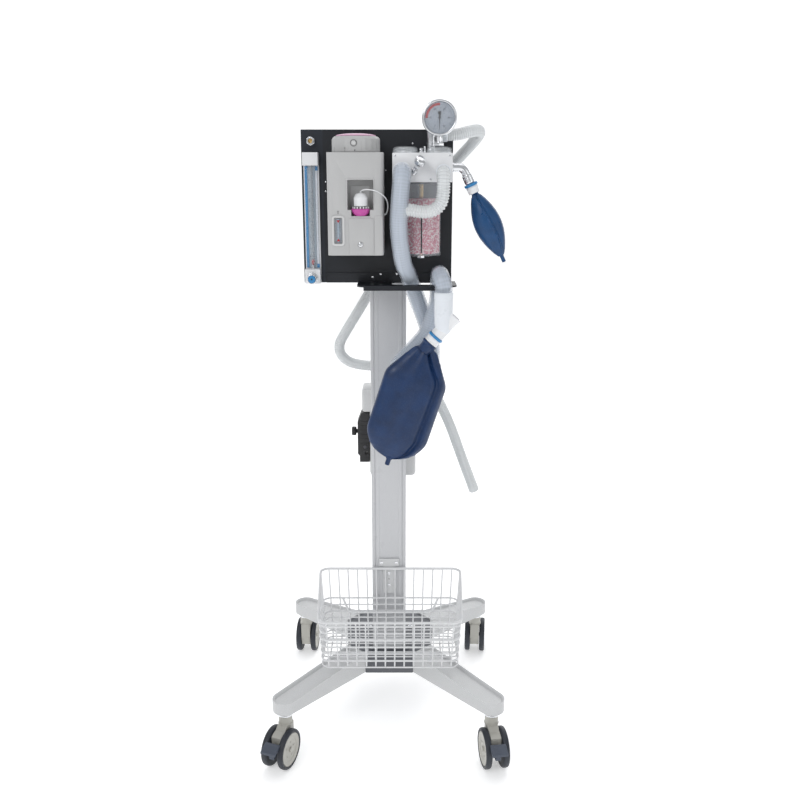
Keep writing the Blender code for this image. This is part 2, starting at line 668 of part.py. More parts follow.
def make_vaporizer():
    """Vaporizer: body with filler recess, dial with release button, filler cap, sight glass, drain screw."""
    half = VAP_W / 2
    body = prism(
        "vaporizer_body",
        rounded((VAP_X - half, VAP_FRONT), (VAP_X + half, VAP_FRONT + VAP_D), 0.007), VAP_BOTTOM, VAP_TOP,
        "Z",
        PALE_GREY,
    )
    pad = block(
        "vaporizer_pad", (VAP_X - 0.030, VAP_FRONT + VAP_D - 0.002, VAP_BOTTOM + 0.030),
        (VAP_X + 0.030, FACE, VAP_TOP - 0.020), PALE_GREY,
    )
    join(body, pad)
    fx = VAP_X + FILLER_X
    ledge = VAP_BOTTOM + FILLER_LIFT
    recess = block(
        "filler_recess", (fx - RECESS_W / 2, VAP_FRONT - 0.01, ledge),
        (fx + RECESS_W / 2, VAP_FRONT + RECESS_D, ledge + RECESS_H), PALE_GREY,
    )
    cut(body, recess)
    fy = VAP_FRONT + 0.0095
    collar_r = FILLER_COLLAR_D / 2
    seat = ledge - 0.0105
    well = [(0, seat), (collar_r + GAP, seat), (collar_r + GAP, ledge + 0.01), (0, ledge + 0.01)]
    spot = Matrix.Translation((fx, fy, 0))
    cut(body, turned("collar_well", well, PALE_GREY, spot, 32))
    foot = seat + GAP
    collar = [(0, foot), (collar_r - 0.005, foot), (collar_r - 0.003, foot + 0.004),
              (collar_r, foot + 0.010)]
    collar += [(collar_r, foot + 0.0145), (collar_r - 0.002, foot + 0.0155), (0, foot + 0.0155)]
    turned("filler_collar", collar, MAGENTA, spot, 32)
    cap_z, cap_r = foot + 0.0155 + GAP, FILLER_CAP_D / 2
    cap = [(0, cap_z), (cap_r - 0.0005, cap_z), (cap_r, cap_z + 0.001),
           (cap_r, cap_z + FILLER_CAP_H - 0.006)]
    cap += [(cap_r - 0.002, cap_z + FILLER_CAP_H - 0.003), (cap_r - 0.005, cap_z + FILLER_CAP_H)]
    turned("filler_cap", cap + [(0, cap_z + FILLER_CAP_H)], WHITE_PLASTIC, spot, 24)
    dial_at = Matrix.Translation((VAP_X, DIAL_Y, 0))
    r, z0 = DIAL_D / 2, VAP_TOP + GAP
    z1 = z0 + DIAL_H
    dial = turned(
        "vaporizer_dial",
        [(0, z0), (r - 0.001, z0), (r, z0 + 0.001), (r, z1 - 0.005), (r - 0.004, z1 - 0.0005),
         (r - 0.006, z1), (0, z1)],
        PALE_GREY, dial_at, 36,
    )
    button_r, button_z = 0.0045, z0 + DIAL_H * 0.56
    press = along((0, -1, 0), (VAP_X - 0.002, DIAL_Y - r + 0.008, button_z))
    pocket = [(0, 0), (button_r + GAP, 0), (button_r + GAP, 0.02), (0, 0.02)]
    cut(dial, turned("button_pocket", pocket, PALE_GREY, press, 16))
    button = [(0, 0.0045), (button_r, 0.0045), (button_r, 0.0085), (button_r - 0.001, 0.0095), (0, 0.0095)]
    turned("dial_button", button, PALE_GREY, press, 16)
    cap_r = DIAL_CAP_D / 2
    dome = [(0, z1 + GAP), (cap_r, z1 + GAP)]
    dome += [(cap_r * math.cos(a), z1 + GAP + DIAL_CAP_H * math.sin(a)) for a in (0.3, 0.6, 0.9, 1.2)]
    turned("dial_cap", dome + [(0, z1 + GAP + DIAL_CAP_H)], PINK, dial_at, 28)
    sx, sz = VAP_X - 0.0300, VAP_BOTTOM + 0.0425
    window = ((sx - SIGHT_W / 2, sz - SIGHT_H / 2), (sx + SIGHT_W / 2, sz + SIGHT_H / 2))
    (x0, w0), (x1, w1) = window
    pocket = prism("sight_pocket", rounded((x0 - GAP, w0 - GAP), (x1 + GAP, w1 + GAP), 0.002),
                   VAP_FRONT - 0.01,
                   VAP_FRONT + 0.003, "Y", PALE_GREY)
    cut(body, pocket)
    prism("sight_glass", rounded(*window, 0.002), VAP_FRONT + 0.0005, VAP_FRONT + 0.003 - GAP, "Y", CLEAR)
    screw_at = along((0, -1, 0), (VAP_X + 0.0085, VAP_FRONT + 0.004, VAP_BOTTOM + 0.0187))
    hole = [(0, 0), (0.0048, 0), (0.0048, 0.02), (0, 0.02)]
    cut(body, turned("drain_hole", hole, PALE_GREY, screw_at, 16))
    screw = [(0, GAP), (0.0045, GAP), (0.0045, 0.0045), (0.0038, 0.005), (0, 0.005)]
    turned("drain_screw", screw, CHROME, screw_at, 16)


# ---------------------------------------------------------------- absorber


def make_absorber():
    """Circle absorber: white head with two ports and two valve domes, canister with granules on a rod."""
    half = HEAD_W / 2
    head = block(
        "absorber_head", (HEAD_X - half, HEAD_FRONT, HEAD_BOTTOM), (HEAD_X + half, FACE, HEAD_TOP),
        WHITE_PLASTIC, 0.0012
    )
    for sign, side in ((-1, "left"), (1, "right")):
        r = PORT_D / 2
        port = [(0, -0.004), (r, -0.004), (r, PORT_L), (0, PORT_L)]
        at = along((0, -1, 0), (HEAD_X + sign * PORT_SPREAD / 2, HEAD_FRONT, HEAD_BOTTOM + PORT_RISE))
        join(head, turned(f"port_{side}", port, WHITE_PLASTIC, at, 24))
        dome_at = Matrix.Translation((HEAD_X + sign * DOME_SPREAD / 2, DOME_Y, HEAD_TOP + GAP))
        outer, wall = DOME_D / 2, DOME_WALL
        dome = [(0, DOME_H), (outer - 0.006, DOME_H), (outer - 0.002, DOME_H - 0.002),
                (outer, DOME_H - 0.005)]
        dome += [(outer, 0), (outer - wall, 0), (outer - wall, DOME_H - 0.005),
                 (outer - 0.007, DOME_H - wall)]
        turned(f"valve_dome_{side}", dome + [(0, DOME_H - wall)], CLEAR, dome_at, 24)
        disc_r = DOME_D / 2 - 0.006
        disc = [(0, 0.001), (disc_r, 0.001), (disc_r, 0.0022), (0, 0.0022)]
        turned(f"valve_disc_{side}", disc, BEIGE, dome_at, 24)
    can_at = Matrix.Translation((HEAD_X - 0.001, CANISTER_Y, HEAD_BOTTOM - GAP - CANISTER_H))
    r, wall, rod_r, floor = CANISTER_D / 2, CANISTER_WALL, ROD_D / 2, 0.004
    cup = [(rod_r + GAP, 0), (r - 0.001, 0), (r, 0.001), (r, CANISTER_H), (r - wall, CANISTER_H)]
    cup += [(r - wall, floor), (rod_r + GAP, floor)]
    turned("canister", cup, CLEAR, can_at, 28, ring=True)
    fill_r = (r - wall) * LIME_FILL
    lime = [(rod_r + GAP, floor + GAP), (fill_r, floor + GAP), (fill_r, LIME_H), (rod_r + GAP, LIME_H)]
    turned("soda_lime", lime, GRANULE, can_at, 24, ring=True)
    rod = [(0, -0.006), (0.0065, -0.006), (0.0065, -GAP), (rod_r, -GAP), (rod_r, CANISTER_H),
           (0, CANISTER_H)]
    turned("canister_rod", rod, BRASS, can_at, 16)
    make_valve_knob()
    make_gauge()
    make_apl_valve()


def make_valve_knob():
    """Chrome fresh gas valve that slants up from the middle of the head's front, with its turning knob."""
    foot = Vector((HEAD_X - 0.016, HEAD_FRONT, HEAD_BOTTOM + 0.0165))
    tilt = Vector((0.42, -0.60, 0.68)).normalized()
    boss = turned("valve_boss", [(0, -0.010), (0.0055, -0.010), (0.0055, 0.008), (0, 0.008)], CHROME,
                  along(tilt, foot), 16)
    join(bpy.data.objects["absorber_head"], boss)
    knob = [(0, 0.0083), (0.0036, 0.0083), (0.0036, 0.022), (0.0088, 0.0225), (0.0100, 0.024),
            (0.0100, 0.031)]
    knob += [(0.0088, 0.0325), (0.005, 0.0335), (0, 0.0335)]
    turned("fresh_gas_knob", knob, CHROME, along(tilt, foot), 20)


def make_gauge():
    """Airway pressure gauge on a stem over the right valve dome: case open at the front, needle and lens."""
    stem_z = HEAD_TOP + DOME_H + 3 * GAP
    stem_top = GAUGE_Z - GAUGE_D / 2 + 0.004
    r, depth = GAUGE_D / 2, GAUGE_DEPTH
    front = along((0, -1, 0), (GAUGE_X, DOME_Y + depth / 2, GAUGE_Z))
    case = [(0, 0), (r - 0.003, 0), (r, 0.002), (r, depth - 0.001), (r - 0.001, depth), (r - 0.004, depth)]
    case += [(r - 0.005, depth - 0.0065), (0.0018, depth - 0.0065), (0.0018, depth - 0.0040),
             (0, depth - 0.0040)]
    gauge = turned("gauge_case", case, CHROME, front, 32)
    neck = [(0, stem_z), (0.0085, stem_z), (0.0085, stem_z + 0.006), (0.0065, stem_z + 0.007),
            (0.0065, stem_top)]
    join(gauge, turned("gauge_stem", neck + [(0, stem_top)], CHROME,
                       Matrix.Translation((GAUGE_X, DOME_Y, 0)), 16))
    lens = [(0, depth - 0.0022), (r - 0.0052, depth - 0.0022), (r - 0.0052, depth - 0.0008),
            (0, depth - 0.0008)]
    turned("gauge_lens", lens, CLEAR, front, 24)
    y0 = DOME_Y - depth / 2 + 0.0042
    needle = [(-0.0009, 0.0), (-0.0032, 0.0105), (0.0032, 0.0105), (0.0009, 0.0), (0.0004, -r * 0.70),
              (-0.0004, -r * 0.70)]
    pointer = prism("gauge_needle", needle, y0 - 0.0010, y0 - 0.0004, "Y", BLACK)
    cap = turned("needle_hub", [(0, -0.0001), (0.0022, -0.0001), (0.0022, 0.0012), (0, 0.0012)], BLACK,
                 along((0, -1, 0), (0, y0 - 0.0003, 0)), 16)
    join(pointer, cap)
    for piece in (pointer, cap):
        piece.location = (GAUGE_X, 0, GAUGE_Z)


def make_apl_valve():
    """Relief valve behind the gauge, with a side outlet for the waste gas hose and a turning knob on top."""
    x, y = GAUGE_X - 0.013, DOME_Y + 0.0295
    z0 = HEAD_TOP + GAP
    r = APL_D / 2
    body = [(0, 0), (r, 0), (r, APL_H - 0.002), (r - 0.001, APL_H), (0, APL_H)]
    valve = turned("apl_valve", body, CHROME, Matrix.Translation((x, y, z0)), 20)
    outlet = [(0, 0), (0.008, 0), (0.008, r + 0.003), (0.0092, r + 0.003), (0.0092, r + 0.005),
              (0, r + 0.005)]
    join(valve, turned("apl_outlet", outlet, CHROME, along((1, 0, 0), (x, y, z0 + 0.0305)), 20))
    top = z0 + APL_H + GAP
    knob = [(0, 0), (0.0092, 0), (0.0095, 0.001), (0.0095, 0.011), (0.008, 0.0125), (0, 0.0125)]
    turned("apl_knob", knob, BLACK, Matrix.Translation((x, y, top)), 20)


# ---------------------------------------------------------------- bags and hoses

SMALL_BAG_TILT = math.radians(25)


def small_swell(t):
    """Half width of the small bag along its length: narrow neck, full middle, pointed end with a nub."""
    if t > 0.90:
        return 0.13
    return max(0.13, 0.20 + 0.80 * math.sin(math.pi * min(1.0, t / 0.92)) ** 0.75 - 0.07)


def large_swell(t):
    """Half width of the large bag: round shoulders, nearly parallel sides, round end with a nub."""
    if t > 0.94:
        return 0.07
    return max(0.07, min(1.0, (1 - abs(2 * t / 0.94 - 1) ** 3.2) ** 0.6 + 0.12))


def make_bags():
    """Swivel arm with the small bag, and the hose connector with the large bag."""
    arm_x = HEAD_X + HEAD_W / 2 + GAP
    y = CANISTER_Y
    elbow = Vector((arm_x + 0.021, y, ARM_Z))
    r = BAG_ARM_D / 2
    flat = [(0, 0), (r + 0.002, 0), (r + 0.002, 0.003), (r, 0.004), (r, 0.0245), (r - 0.002, 0.0265),
            (0, 0.0265)]
    arm = turned("bag_arm", flat, CHROME, along((1, 0, 0), (arm_x, y, ARM_Z)), 24)
    down = Vector((math.sin(SMALL_BAG_TILT), 0, -math.cos(SMALL_BAG_TILT)))
    pipe = [(0, -0.002), (r, -0.002), (r, 0.014), (r + 0.0015, 0.015), (r + 0.0015, 0.030), (0, 0.030)]
    join(arm, turned("bag_arm_pipe", pipe, CHROME, along(down, elbow), 24))
    neck = elbow + down * (0.030 + GAP)
    collar = turned(
        "small_bag", [(0, 0), (0.0125, 0), (0.0125, 0.005), (0.0105, 0.006), (0.0100, 0.0215), (0, 0.0215)],
        BLUE,
        along(down, neck), 24,
    )
    start = neck + down * 0.017
    join(collar, bag("small_bag_body", start, start + down * SMALL_BAG_L, SMALL_BAG_W, SMALL_BAG_W * 0.72,
                     small_swell,
                     BLUE))

    y = -0.1775
    middle = Vector((0.1010, y, 0.8740))
    run = Vector((-0.66, 0, -0.75)).normalized()
    pipe = [(0, -0.031), (0.0145, -0.031), (0.0135, -0.026), (0.0128, -0.020), (0.0128, 0.018),
            (0.0135, 0.019)]
    pipe += [(0.0135, 0.034), (0, 0.034)]
    connector = turned("hose_connector", pipe, WHITE_PLASTIC, along(run, middle), 24)
    r = BREATHING_D / 2 + 0.001
    cuff = [(0, -0.006), (r - 0.004, -0.006), (r, 0.006), (r, CUFF_L), (0, CUFF_L)]
    join(connector, turned("cuff", cuff, WHITE_PLASTIC, along((0.0, 0, 1), middle), 24))
    mouth = middle + run * (0.034 + GAP)
    neck = turned("large_bag", [(0, 0), (0.0145, 0), (0.0145, 0.004), (0.0125, 0.005), (0.0125, 0.020),
                                (0, 0.020)],
                  BLUE, along(run, mouth), 20)
    top, lean = mouth + run * 0.010, Vector((-0.31, 0, -0.95)).normalized()
    join(neck, bag("large_bag_body", top, top + lean * LARGE_BAG_L, LARGE_BAG_W, 0.040, large_swell, BLUE,
                   16, 16))


BREATHING_ROUTE = [
    (0.0262, -0.1712, 1.1465), (0.0262, -0.1785, 1.1462), (0.0261, -0.1870, 1.1425),
    (0.0257, -0.1938, 1.1345),
    (0.0246, -0.1965, 1.1220), (0.0228, -0.1950, 1.0980), (0.0208, -0.1905, 1.0660),
    (0.0215, -0.1850, 1.0420), (0.0245, -0.1790, 1.0150),
    (0.0295, -0.1655, 0.9880), (0.0370, -0.1400, 0.9690), (0.0435, -0.1190, 0.9490),
    (0.0520, -0.1090, 0.9260),
    (0.0635, -0.0985, 0.8950), (0.0755, -0.0885, 0.8600), (0.0835, -0.0845, 0.8200),
    (0.0810, -0.0850, 0.7780),
    (0.0640, -0.0880, 0.7420), (0.0350, -0.0930, 0.7280), (0.0080, -0.1000, 0.7420),
    (0.0100, -0.1080, 0.7700),
    (0.0260, -0.1150, 0.8020), (0.0520, -0.1210, 0.8300), (0.0740, -0.1250, 0.8580),
    (0.0830, -0.1250, 0.8840),
    (0.0920, -0.1235, 0.9130), (0.0935, -0.1232, 0.9400), (0.0937, -0.1265, 0.9570),
    (0.0942, -0.1400, 0.9672),
    (0.0952, -0.1590, 0.9675), (0.0975, -0.1735, 0.9605), (0.0995, -0.1770, 0.9540),
    (0.1008, -0.1778, 0.9475), (0.1010, -0.1778, 0.9410),
]
EXPIRATORY_ROUTE = [
    (0.0978, -0.1712, 1.1465), (0.0978, -0.1770, 1.1463), (0.0978, -0.1840, 1.1434),
    (0.0978, -0.1895, 1.1365),
    (0.0976, -0.1918, 1.1265),
    (0.0968, -0.1915, 1.1090), (0.0925, -0.1920, 1.0935), (0.0820, -0.1925, 1.0835),
    (0.0680, -0.1930, 1.0800),
    (0.0530, -0.1935, 1.0810), (0.0395, -0.1935, 1.0830),
]
SCAVENGING_ROUTE = [
    (0.0926, -0.1009, 1.2100), (0.1050, -0.1009, 1.2100), (0.1250, -0.1000, 1.2110),
    (0.1480, -0.0940, 1.2160),
    (0.1640, -0.0780, 1.2185), (0.1680, -0.0560, 1.2130), (0.1580, -0.0340, 1.1980),
    (0.1400, -0.0190, 1.1780),
    (0.1150, -0.0060, 1.1500), (0.0850, 0.0120, 1.1120), (0.0550, 0.0310, 1.0680), (0.0300, 0.0420, 1.0270),
    (0.0050, 0.0455, 0.9850), (-0.0150, 0.0465, 0.9500), (-0.0360, 0.0455, 0.9150),
    (-0.0620, 0.0440, 0.8720),
    (-0.0880, 0.0430, 0.8300), (-0.1010, 0.0425, 0.8040), (-0.0985, 0.0425, 0.7830),
    (-0.0820, 0.0435, 0.7670),
    (-0.0580, 0.0455, 0.7600), (-0.0330, 0.0475, 0.7575), (0.0, 0.0480, 0.7570), (0.0300, 0.0460, 0.7530),
    (0.0600, 0.0370, 0.7390), (0.0850, 0.0270, 0.7160), (0.1030, 0.0200, 0.6890), (0.1270, 0.0160, 0.6380),
    (0.1533, 0.0155, 0.5660), (0.1800, 0.0175, 0.4945),
]
TETHER_ROUTE = [
    (-0.0453, -0.1783, 1.1114), (-0.0450, -0.1783, 1.1135), (-0.0430, -0.1800, 1.1155),
    (-0.0360, -0.1870, 1.1172),
    (-0.0225, -0.1905, 1.1160), (-0.0110, -0.1900, 1.1110), (-0.0020, -0.1840, 1.1030),
    (0.0015, -0.1740, 1.0930),
    (0.0010, -0.1660, 1.0820), (-0.0018, -0.1620, 1.0750), (-0.0042, -0.1600, 1.0740),
]


def make_hoses():
    """Breathing hose, corrugated expiratory hose, waste gas hose and the filler cap's tether."""
    cord("breathing_hose", BREATHING_ROUTE, BREATHING_D, HOSE)
    cord("expiratory_hose", EXPIRATORY_ROUTE, EXPIRATORY_D, HOSE)
    cord("scavenging_hose", SCAVENGING_ROUTE, SCAVENGING_D, HOSE)
    cord("filler_tether", TETHER_ROUTE, TETHER_D, WHITE_PLASTIC)


def main():
    clear_scene()
    make_base()
    make_casters()
    make_column()
    make_basket()
    make_rear()
    make_panel()
    make_flowmeter()
    make_vaporizer()
    make_absorber()
    make_bags()
    make_hoses()


main()
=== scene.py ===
"""Looks of a mobile veterinary anesthesia machine, laid out as a Blender add-on and run as a script.

Every piece is a surface worked out with numpy on a grid of two parameters, or a merged and softened copy
of its CAD node. All lengths are in metres, in the CAD frame: +Z up, the front faces -Y.
"""

import math

import bmesh
import bpy
import numpy as np
from mathutils import Matrix, Vector


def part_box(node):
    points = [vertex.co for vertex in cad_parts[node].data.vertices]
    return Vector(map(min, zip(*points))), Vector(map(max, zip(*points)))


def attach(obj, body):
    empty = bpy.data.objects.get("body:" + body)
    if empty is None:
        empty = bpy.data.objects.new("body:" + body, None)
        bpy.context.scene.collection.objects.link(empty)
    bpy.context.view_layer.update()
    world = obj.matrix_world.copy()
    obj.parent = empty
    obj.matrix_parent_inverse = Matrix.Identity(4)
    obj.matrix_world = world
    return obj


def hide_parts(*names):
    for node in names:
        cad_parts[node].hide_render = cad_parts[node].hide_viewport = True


bl_info = {"name": "Veterinary anesthesia machine", "version": (1, 0, 0), "blender": (4, 5, 0),
    "location": "View3D > Sidebar > Anesthesia",
    "description": "Builds the looks of a mobile anesthesia machine around its CAD frame",
    "category": "Object",}

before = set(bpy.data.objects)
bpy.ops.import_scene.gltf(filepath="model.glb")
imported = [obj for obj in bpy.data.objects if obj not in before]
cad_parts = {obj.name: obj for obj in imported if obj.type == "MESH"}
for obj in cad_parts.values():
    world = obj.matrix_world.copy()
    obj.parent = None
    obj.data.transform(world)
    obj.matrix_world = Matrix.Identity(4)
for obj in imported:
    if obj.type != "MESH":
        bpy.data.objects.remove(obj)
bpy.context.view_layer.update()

TURN = 2 * math.pi
X_AXIS, Y_AXIS, Z_AXIS = np.eye(3)
TINY = 1e-9

# The casters: the wheels' radius, and the inner and outer face of one wheel from the middle of the axle
WHEEL_RADIUS, WHEEL_INNER, WHEEL_OUTER = 0.04, 0.01125, 0.02425
CASTER_YAW = {"front_left": -22.0, "front_right": 9.0, "rear_left": 176.0, "rear_right": 174.0}

# The legs: reach of the root from the hub's middle, half widths at root and end, and heights at root and end
LEG_ROOT, LEG_WIDE, LEG_NARROW, LEG_HIGH, LEG_LOW = 0.1053, 0.0257, 0.0245, 0.049, 0.028

# The canister: number of loose granules on top of the fill
CROWN_GRANULES = 620

# The flowmeter: steps of the scale, with a long mark every fifth and a digit every tenth
SCALE_STEPS = 45

# The studio: the camera's place and its tilt down in degrees, and each light's name, place, watts and size
CAMERA_AT, CAMERA_TILT, CAMERA_LENS = (0.023, -1.7835, 1.15), 15.3, 40.5
LIGHTS = (("key", (-1.5, -2.6, 2.6), 31, 1.6), ("fill", (2.4, -2.2, 1.5), 9, 2.0), ("top", (0.2, 0.4, 3.4),
    18, 2.4), ("rear", (1.2, 2.6, 2.0), 12, 1.6))

# The base: reach of the casters' stems from the middle, and the middle of the hub
STEM_REACH = 0.206
HUB_MIDDLE = (0, 0.026)
CORNERS = {"front_left": (-1, -1), "front_right": (1, -1), "rear_left": (-1, 1), "rear_right": (1, 1)}

# The routes of the hoses and of the tether, the same as in the part's source
BREATHING_ROUTE = [(0.0262, -0.1712, 1.1465), (0.0262, -0.1785, 1.1462), (0.0261, -0.187, 1.1425),
    (0.0257, -0.1938, 1.1345), (0.0246, -0.1965, 1.122), (0.0228, -0.195, 1.098), (0.0208, -0.1905, 1.066),
    (0.0215, -0.185, 1.042), (0.0245, -0.179, 1.015), (0.0295, -0.1655, 0.988), (0.037, -0.14, 0.969),
    (0.0435, -0.119, 0.949), (0.052, -0.109, 0.926), (0.0635, -0.0985, 0.895), (0.0755, -0.0885, 0.86),
    (0.0835, -0.0845, 0.82), (0.081, -0.085, 0.778), (0.064, -0.088, 0.742), (0.035, -0.093, 0.728),
    (0.008, -0.1, 0.742), (0.01, -0.108, 0.77), (0.026, -0.115, 0.802), (0.052, -0.121, 0.83),
    (0.074, -0.125, 0.858), (0.083, -0.125, 0.884), (0.092, -0.1235, 0.913), (0.0935, -0.1232, 0.94),
    (0.0937, -0.1265, 0.957), (0.0942, -0.14, 0.9672), (0.0952, -0.159, 0.9675), (0.0975, -0.1735, 0.9605),
    (0.0995, -0.177, 0.954), (0.1008, -0.1778, 0.9475), (0.101, -0.1778, 0.941),]
EXPIRATORY_ROUTE = [(0.0978, -0.1712, 1.1465), (0.0978, -0.177, 1.1463), (0.0978, -0.184, 1.1434),
    (0.0978, -0.1895, 1.1365), (0.0976, -0.1918, 1.1265), (0.0968, -0.1915, 1.109),
    (0.0925, -0.192, 1.0935), (0.082, -0.1925, 1.0835), (0.068, -0.193, 1.08), (0.053, -0.1935, 1.081),
    (0.0395, -0.1935, 1.083), (0.029, -0.1925, 1.08), (0.0225, -0.1905, 1.071), (0.0212, -0.1893, 1.063),]
SCAVENGING_ROUTE = [(0.0926, -0.1009, 1.21), (0.105, -0.1009, 1.21), (0.125, -0.1, 1.211),
    (0.148, -0.094, 1.216), (0.164, -0.078, 1.2185), (0.168, -0.056, 1.213), (0.158, -0.034, 1.198),
    (0.14, -0.019, 1.178), (0.115, -0.006, 1.15), (0.085, 0.012, 1.112), (0.055, 0.031, 1.068),
    (0.03, 0.042, 1.027), (0.005, 0.0455, 0.985), (-0.015, 0.0465, 0.95), (-0.036, 0.0455, 0.915),
    (-0.062, 0.044, 0.872), (-0.088, 0.043, 0.83), (-0.101, 0.0425, 0.804), (-0.0985, 0.0425, 0.783),
    (-0.082, 0.0435, 0.767), (-0.058, 0.0455, 0.76), (-0.033, 0.0475, 0.7575), (0.0, 0.048, 0.757),
    (0.03, 0.046, 0.753), (0.06, 0.037, 0.739), (0.085, 0.027, 0.716), (0.103, 0.02, 0.689),
    (0.127, 0.016, 0.638), (0.1533, 0.0155, 0.566), (0.18, 0.0175, 0.4945),]
TETHER_ROUTE = [(-0.0453, -0.1783, 1.1114), (-0.045, -0.1783, 1.1135), (-0.043, -0.18, 1.1155),
    (-0.036, -0.187, 1.1172), (-0.0225, -0.1905, 1.116), (-0.011, -0.19, 1.111), (-0.002, -0.184, 1.103),
    (0.0015, -0.174, 1.093), (0.001, -0.166, 1.082), (-0.0018, -0.162, 1.075), (-0.0042, -0.16, 1.074),]


# ---------------------------------------------------------------- sizes and colours


def length(name, description, default):
    """A length in metres that shows in the sidebar."""
    return bpy.props.FloatProperty(name=name, description=description, default=default, min=0.0,
        unit="LENGTH", precision=5)


def colour(name, description, default):
    """A linear RGB colour that shows in the sidebar."""
    return bpy.props.FloatVectorProperty(name=name, description=description, default=default, size=3,
        min=0.0, max=1.0, subtype="COLOR")


class AnesthesiaSizes(bpy.types.PropertyGroup):
    """Sizes of the details that the looks add to the CAD parts"""

    breathing_hose: length("Breathing hose", "Outer diameter of the breathing hose", 0.032)
    expiratory_hose: length("Expiratory hose", "Outer diameter of the corrugated hose", 0.024)
    waste_hose: length("Waste gas hose", "Outer diameter of the waste gas hose", 0.022)
    tether: length("Tether", "Thickness of the filler cap's tether", 0.002)
    corrugation: length("Corrugation pitch", "Distance between two ridges of the corrugated hose", 0.0046)
    rim_wire: length("Rim wire", "Thickness of the basket's rim wire", 0.0052)
    mesh_wire: length("Mesh wire", "Thickness of the basket's thin wires", 0.0029)
    wire_pitch: length("Wire pitch", "Distance between two upright wires of the basket", 0.0188)
    granule: length("Granule", "Size of one granule in the canister", 0.003)


class AnesthesiaColours(bpy.types.PropertyGroup):
    """Colours of the finishes"""

    panel: colour("Panel", "Black powder coat of the panel", (0.005, 0.007, 0.0115))
    column: colour("Column", "Coated extrusion of the column", (0.545, 0.55, 0.565))
    leg: colour("Legs", "Pale grey of the legs", (0.585, 0.59, 0.595))
    hub: colour("Hub", "Dark grey of the hub", (0.115, 0.12, 0.135))
    wire: colour("Basket", "White plastic coat of the basket", (0.7, 0.705, 0.715))
    white: colour("White plastic", "White moulded plastic", (0.76, 0.765, 0.78))
    vaporizer: colour("Vaporizer", "Warm light grey of the vaporizer", (0.455, 0.455, 0.455))
    beige: colour("Casters", "Beige grey of the caster hoods", (0.44, 0.43, 0.39))
    tyre: colour("Tyres", "Blue black of the tyres", (0.022, 0.026, 0.036))
    pedal: colour("Pedals", "Slate grey of the brake pedals", (0.062, 0.075, 0.105))
    large_bag: colour("Large bag", "Dark blue rubber of the large bag", (0.0015, 0.022, 0.085))
    small_bag: colour("Small bag", "Brighter blue rubber of the small bag", (0.002, 0.048, 0.15))
    sky: colour("Blue plastic", "Bright blue of the rings and the flowmeter", (0.022, 0.2, 0.45))
    hose: colour("Hose", "Pale blue tint of the breathing hose", (0.53, 0.575, 0.64))
    grey_hose: colour("Waste gas hose", "Pale grey of the waste gas hose", (0.66, 0.68, 0.69))
    magenta: colour("Filler collar", "Magenta of the filler collar", (0.5, 0.07, 0.33))
    pink: colour("Dial cap", "Pink of the dial's cap", (0.62, 0.33, 0.48))
    granule_pink: colour("Pink granules", "Pink of the spent granules", (0.6, 0.12, 0.2))
    granule_white: colour("White granules", "White of the fresh granules", (0.82, 0.74, 0.74))
    gauge_face: colour("Gauge face", "Pale blue grey of the gauge's dial", (0.31, 0.345, 0.4))
    red: colour("Red", "Red of the float and of the gauge's arc", (0.4, 0.012, 0.018))


# ---------------------------------------------------------------- surfaces


class Box:
    """A CAD node's box at rest: its low and high corners, middle and size as arrays."""

    def __init__(self, node):
        low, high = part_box(node)
        self.low, self.high = np.array(low), np.array(high)
        self.mid, self.size = (self.low + self.high) / 2, self.high - self.low


def surface(points, faces, trail=None):
    """A surface: its points as an (n, 3) array, faces as lists of indices,
    and a pattern vector for each point.
    """
    points = np.asarray(points, float).reshape(-1, 3)
    trail = np.zeros_like(points) if trail is None else np.asarray(trail, float).reshape(-1, 3)
    return points, faces, trail


def volume(points, faces):
    """Signed volume: for every face, the sum over its fan triangles of a . (b x c) / 6."""
    total = 0.0
    for width in sorted({len(f) for f in faces}):
        same = points[np.array([f for f in faces if len(f) == width])]
        for k in range(1, width - 1):
            total += np.einsum("ij,ij->i", same[:, 0], np.cross(same[:, k], same[:, k + 1])).sum() / 6
    return total


def outward(shape):
    """The same surface with its faces pointing out, which is where its signed volume is positive."""
    points, faces, trail = shape
    if volume(points - points.mean(0), faces) < 0:
        faces = [list(f)[::-1] for f in faces]
    return points, faces, trail


def grid(points, trail=None, around=True, closed=False, caps=False):
    """Quads over a grid of rows and columns.

    The point of row i and column j is joined to the next row and the next column. around joins the last
    column to the first, closed joins the last row to the first, and caps closes the first and last row
    with one flat face each.
    """
    rows, columns = points.shape[:2]
    number = np.arange(rows * columns).reshape(rows, columns)
    if around:
        number = np.concatenate([number, number[:, :1]], axis=1)
    if closed:
        number = np.concatenate([number, number[:1]], axis=0)
    quads = np.stack([number[:-1, :-1], number[:-1, 1:], number[1:, 1:], number[1:, :-1]],
        axis=-1).reshape(-1, 4)
    faces = quads.tolist()
    if caps:
        faces += [number[0, :columns][::-1].tolist(), number[-1, :columns].tolist()]
    return surface(points, faces, trail)


def placed(shape, matrix):
    """The surface with every point p taken to M p."""
    points, faces, trail = shape
    m = np.array(matrix)
    return points @ m[:3, :3].T + m[:3, 3], faces, trail


def moved(shape, shift):
    """The surface with the same vector added to every point."""
    return shape[0] + np.asarray(shift, float), shape[1], shape[2]


def towards(direction, at=(0, 0, 0)):
    """Matrix that carries +Z onto the direction and the origin onto the point."""
    turn = Vector((0, 0, 1)).rotation_difference(Vector(direction).normalized())
    return Matrix.Translation(Vector(at)) @ turn.to_matrix().to_4x4()


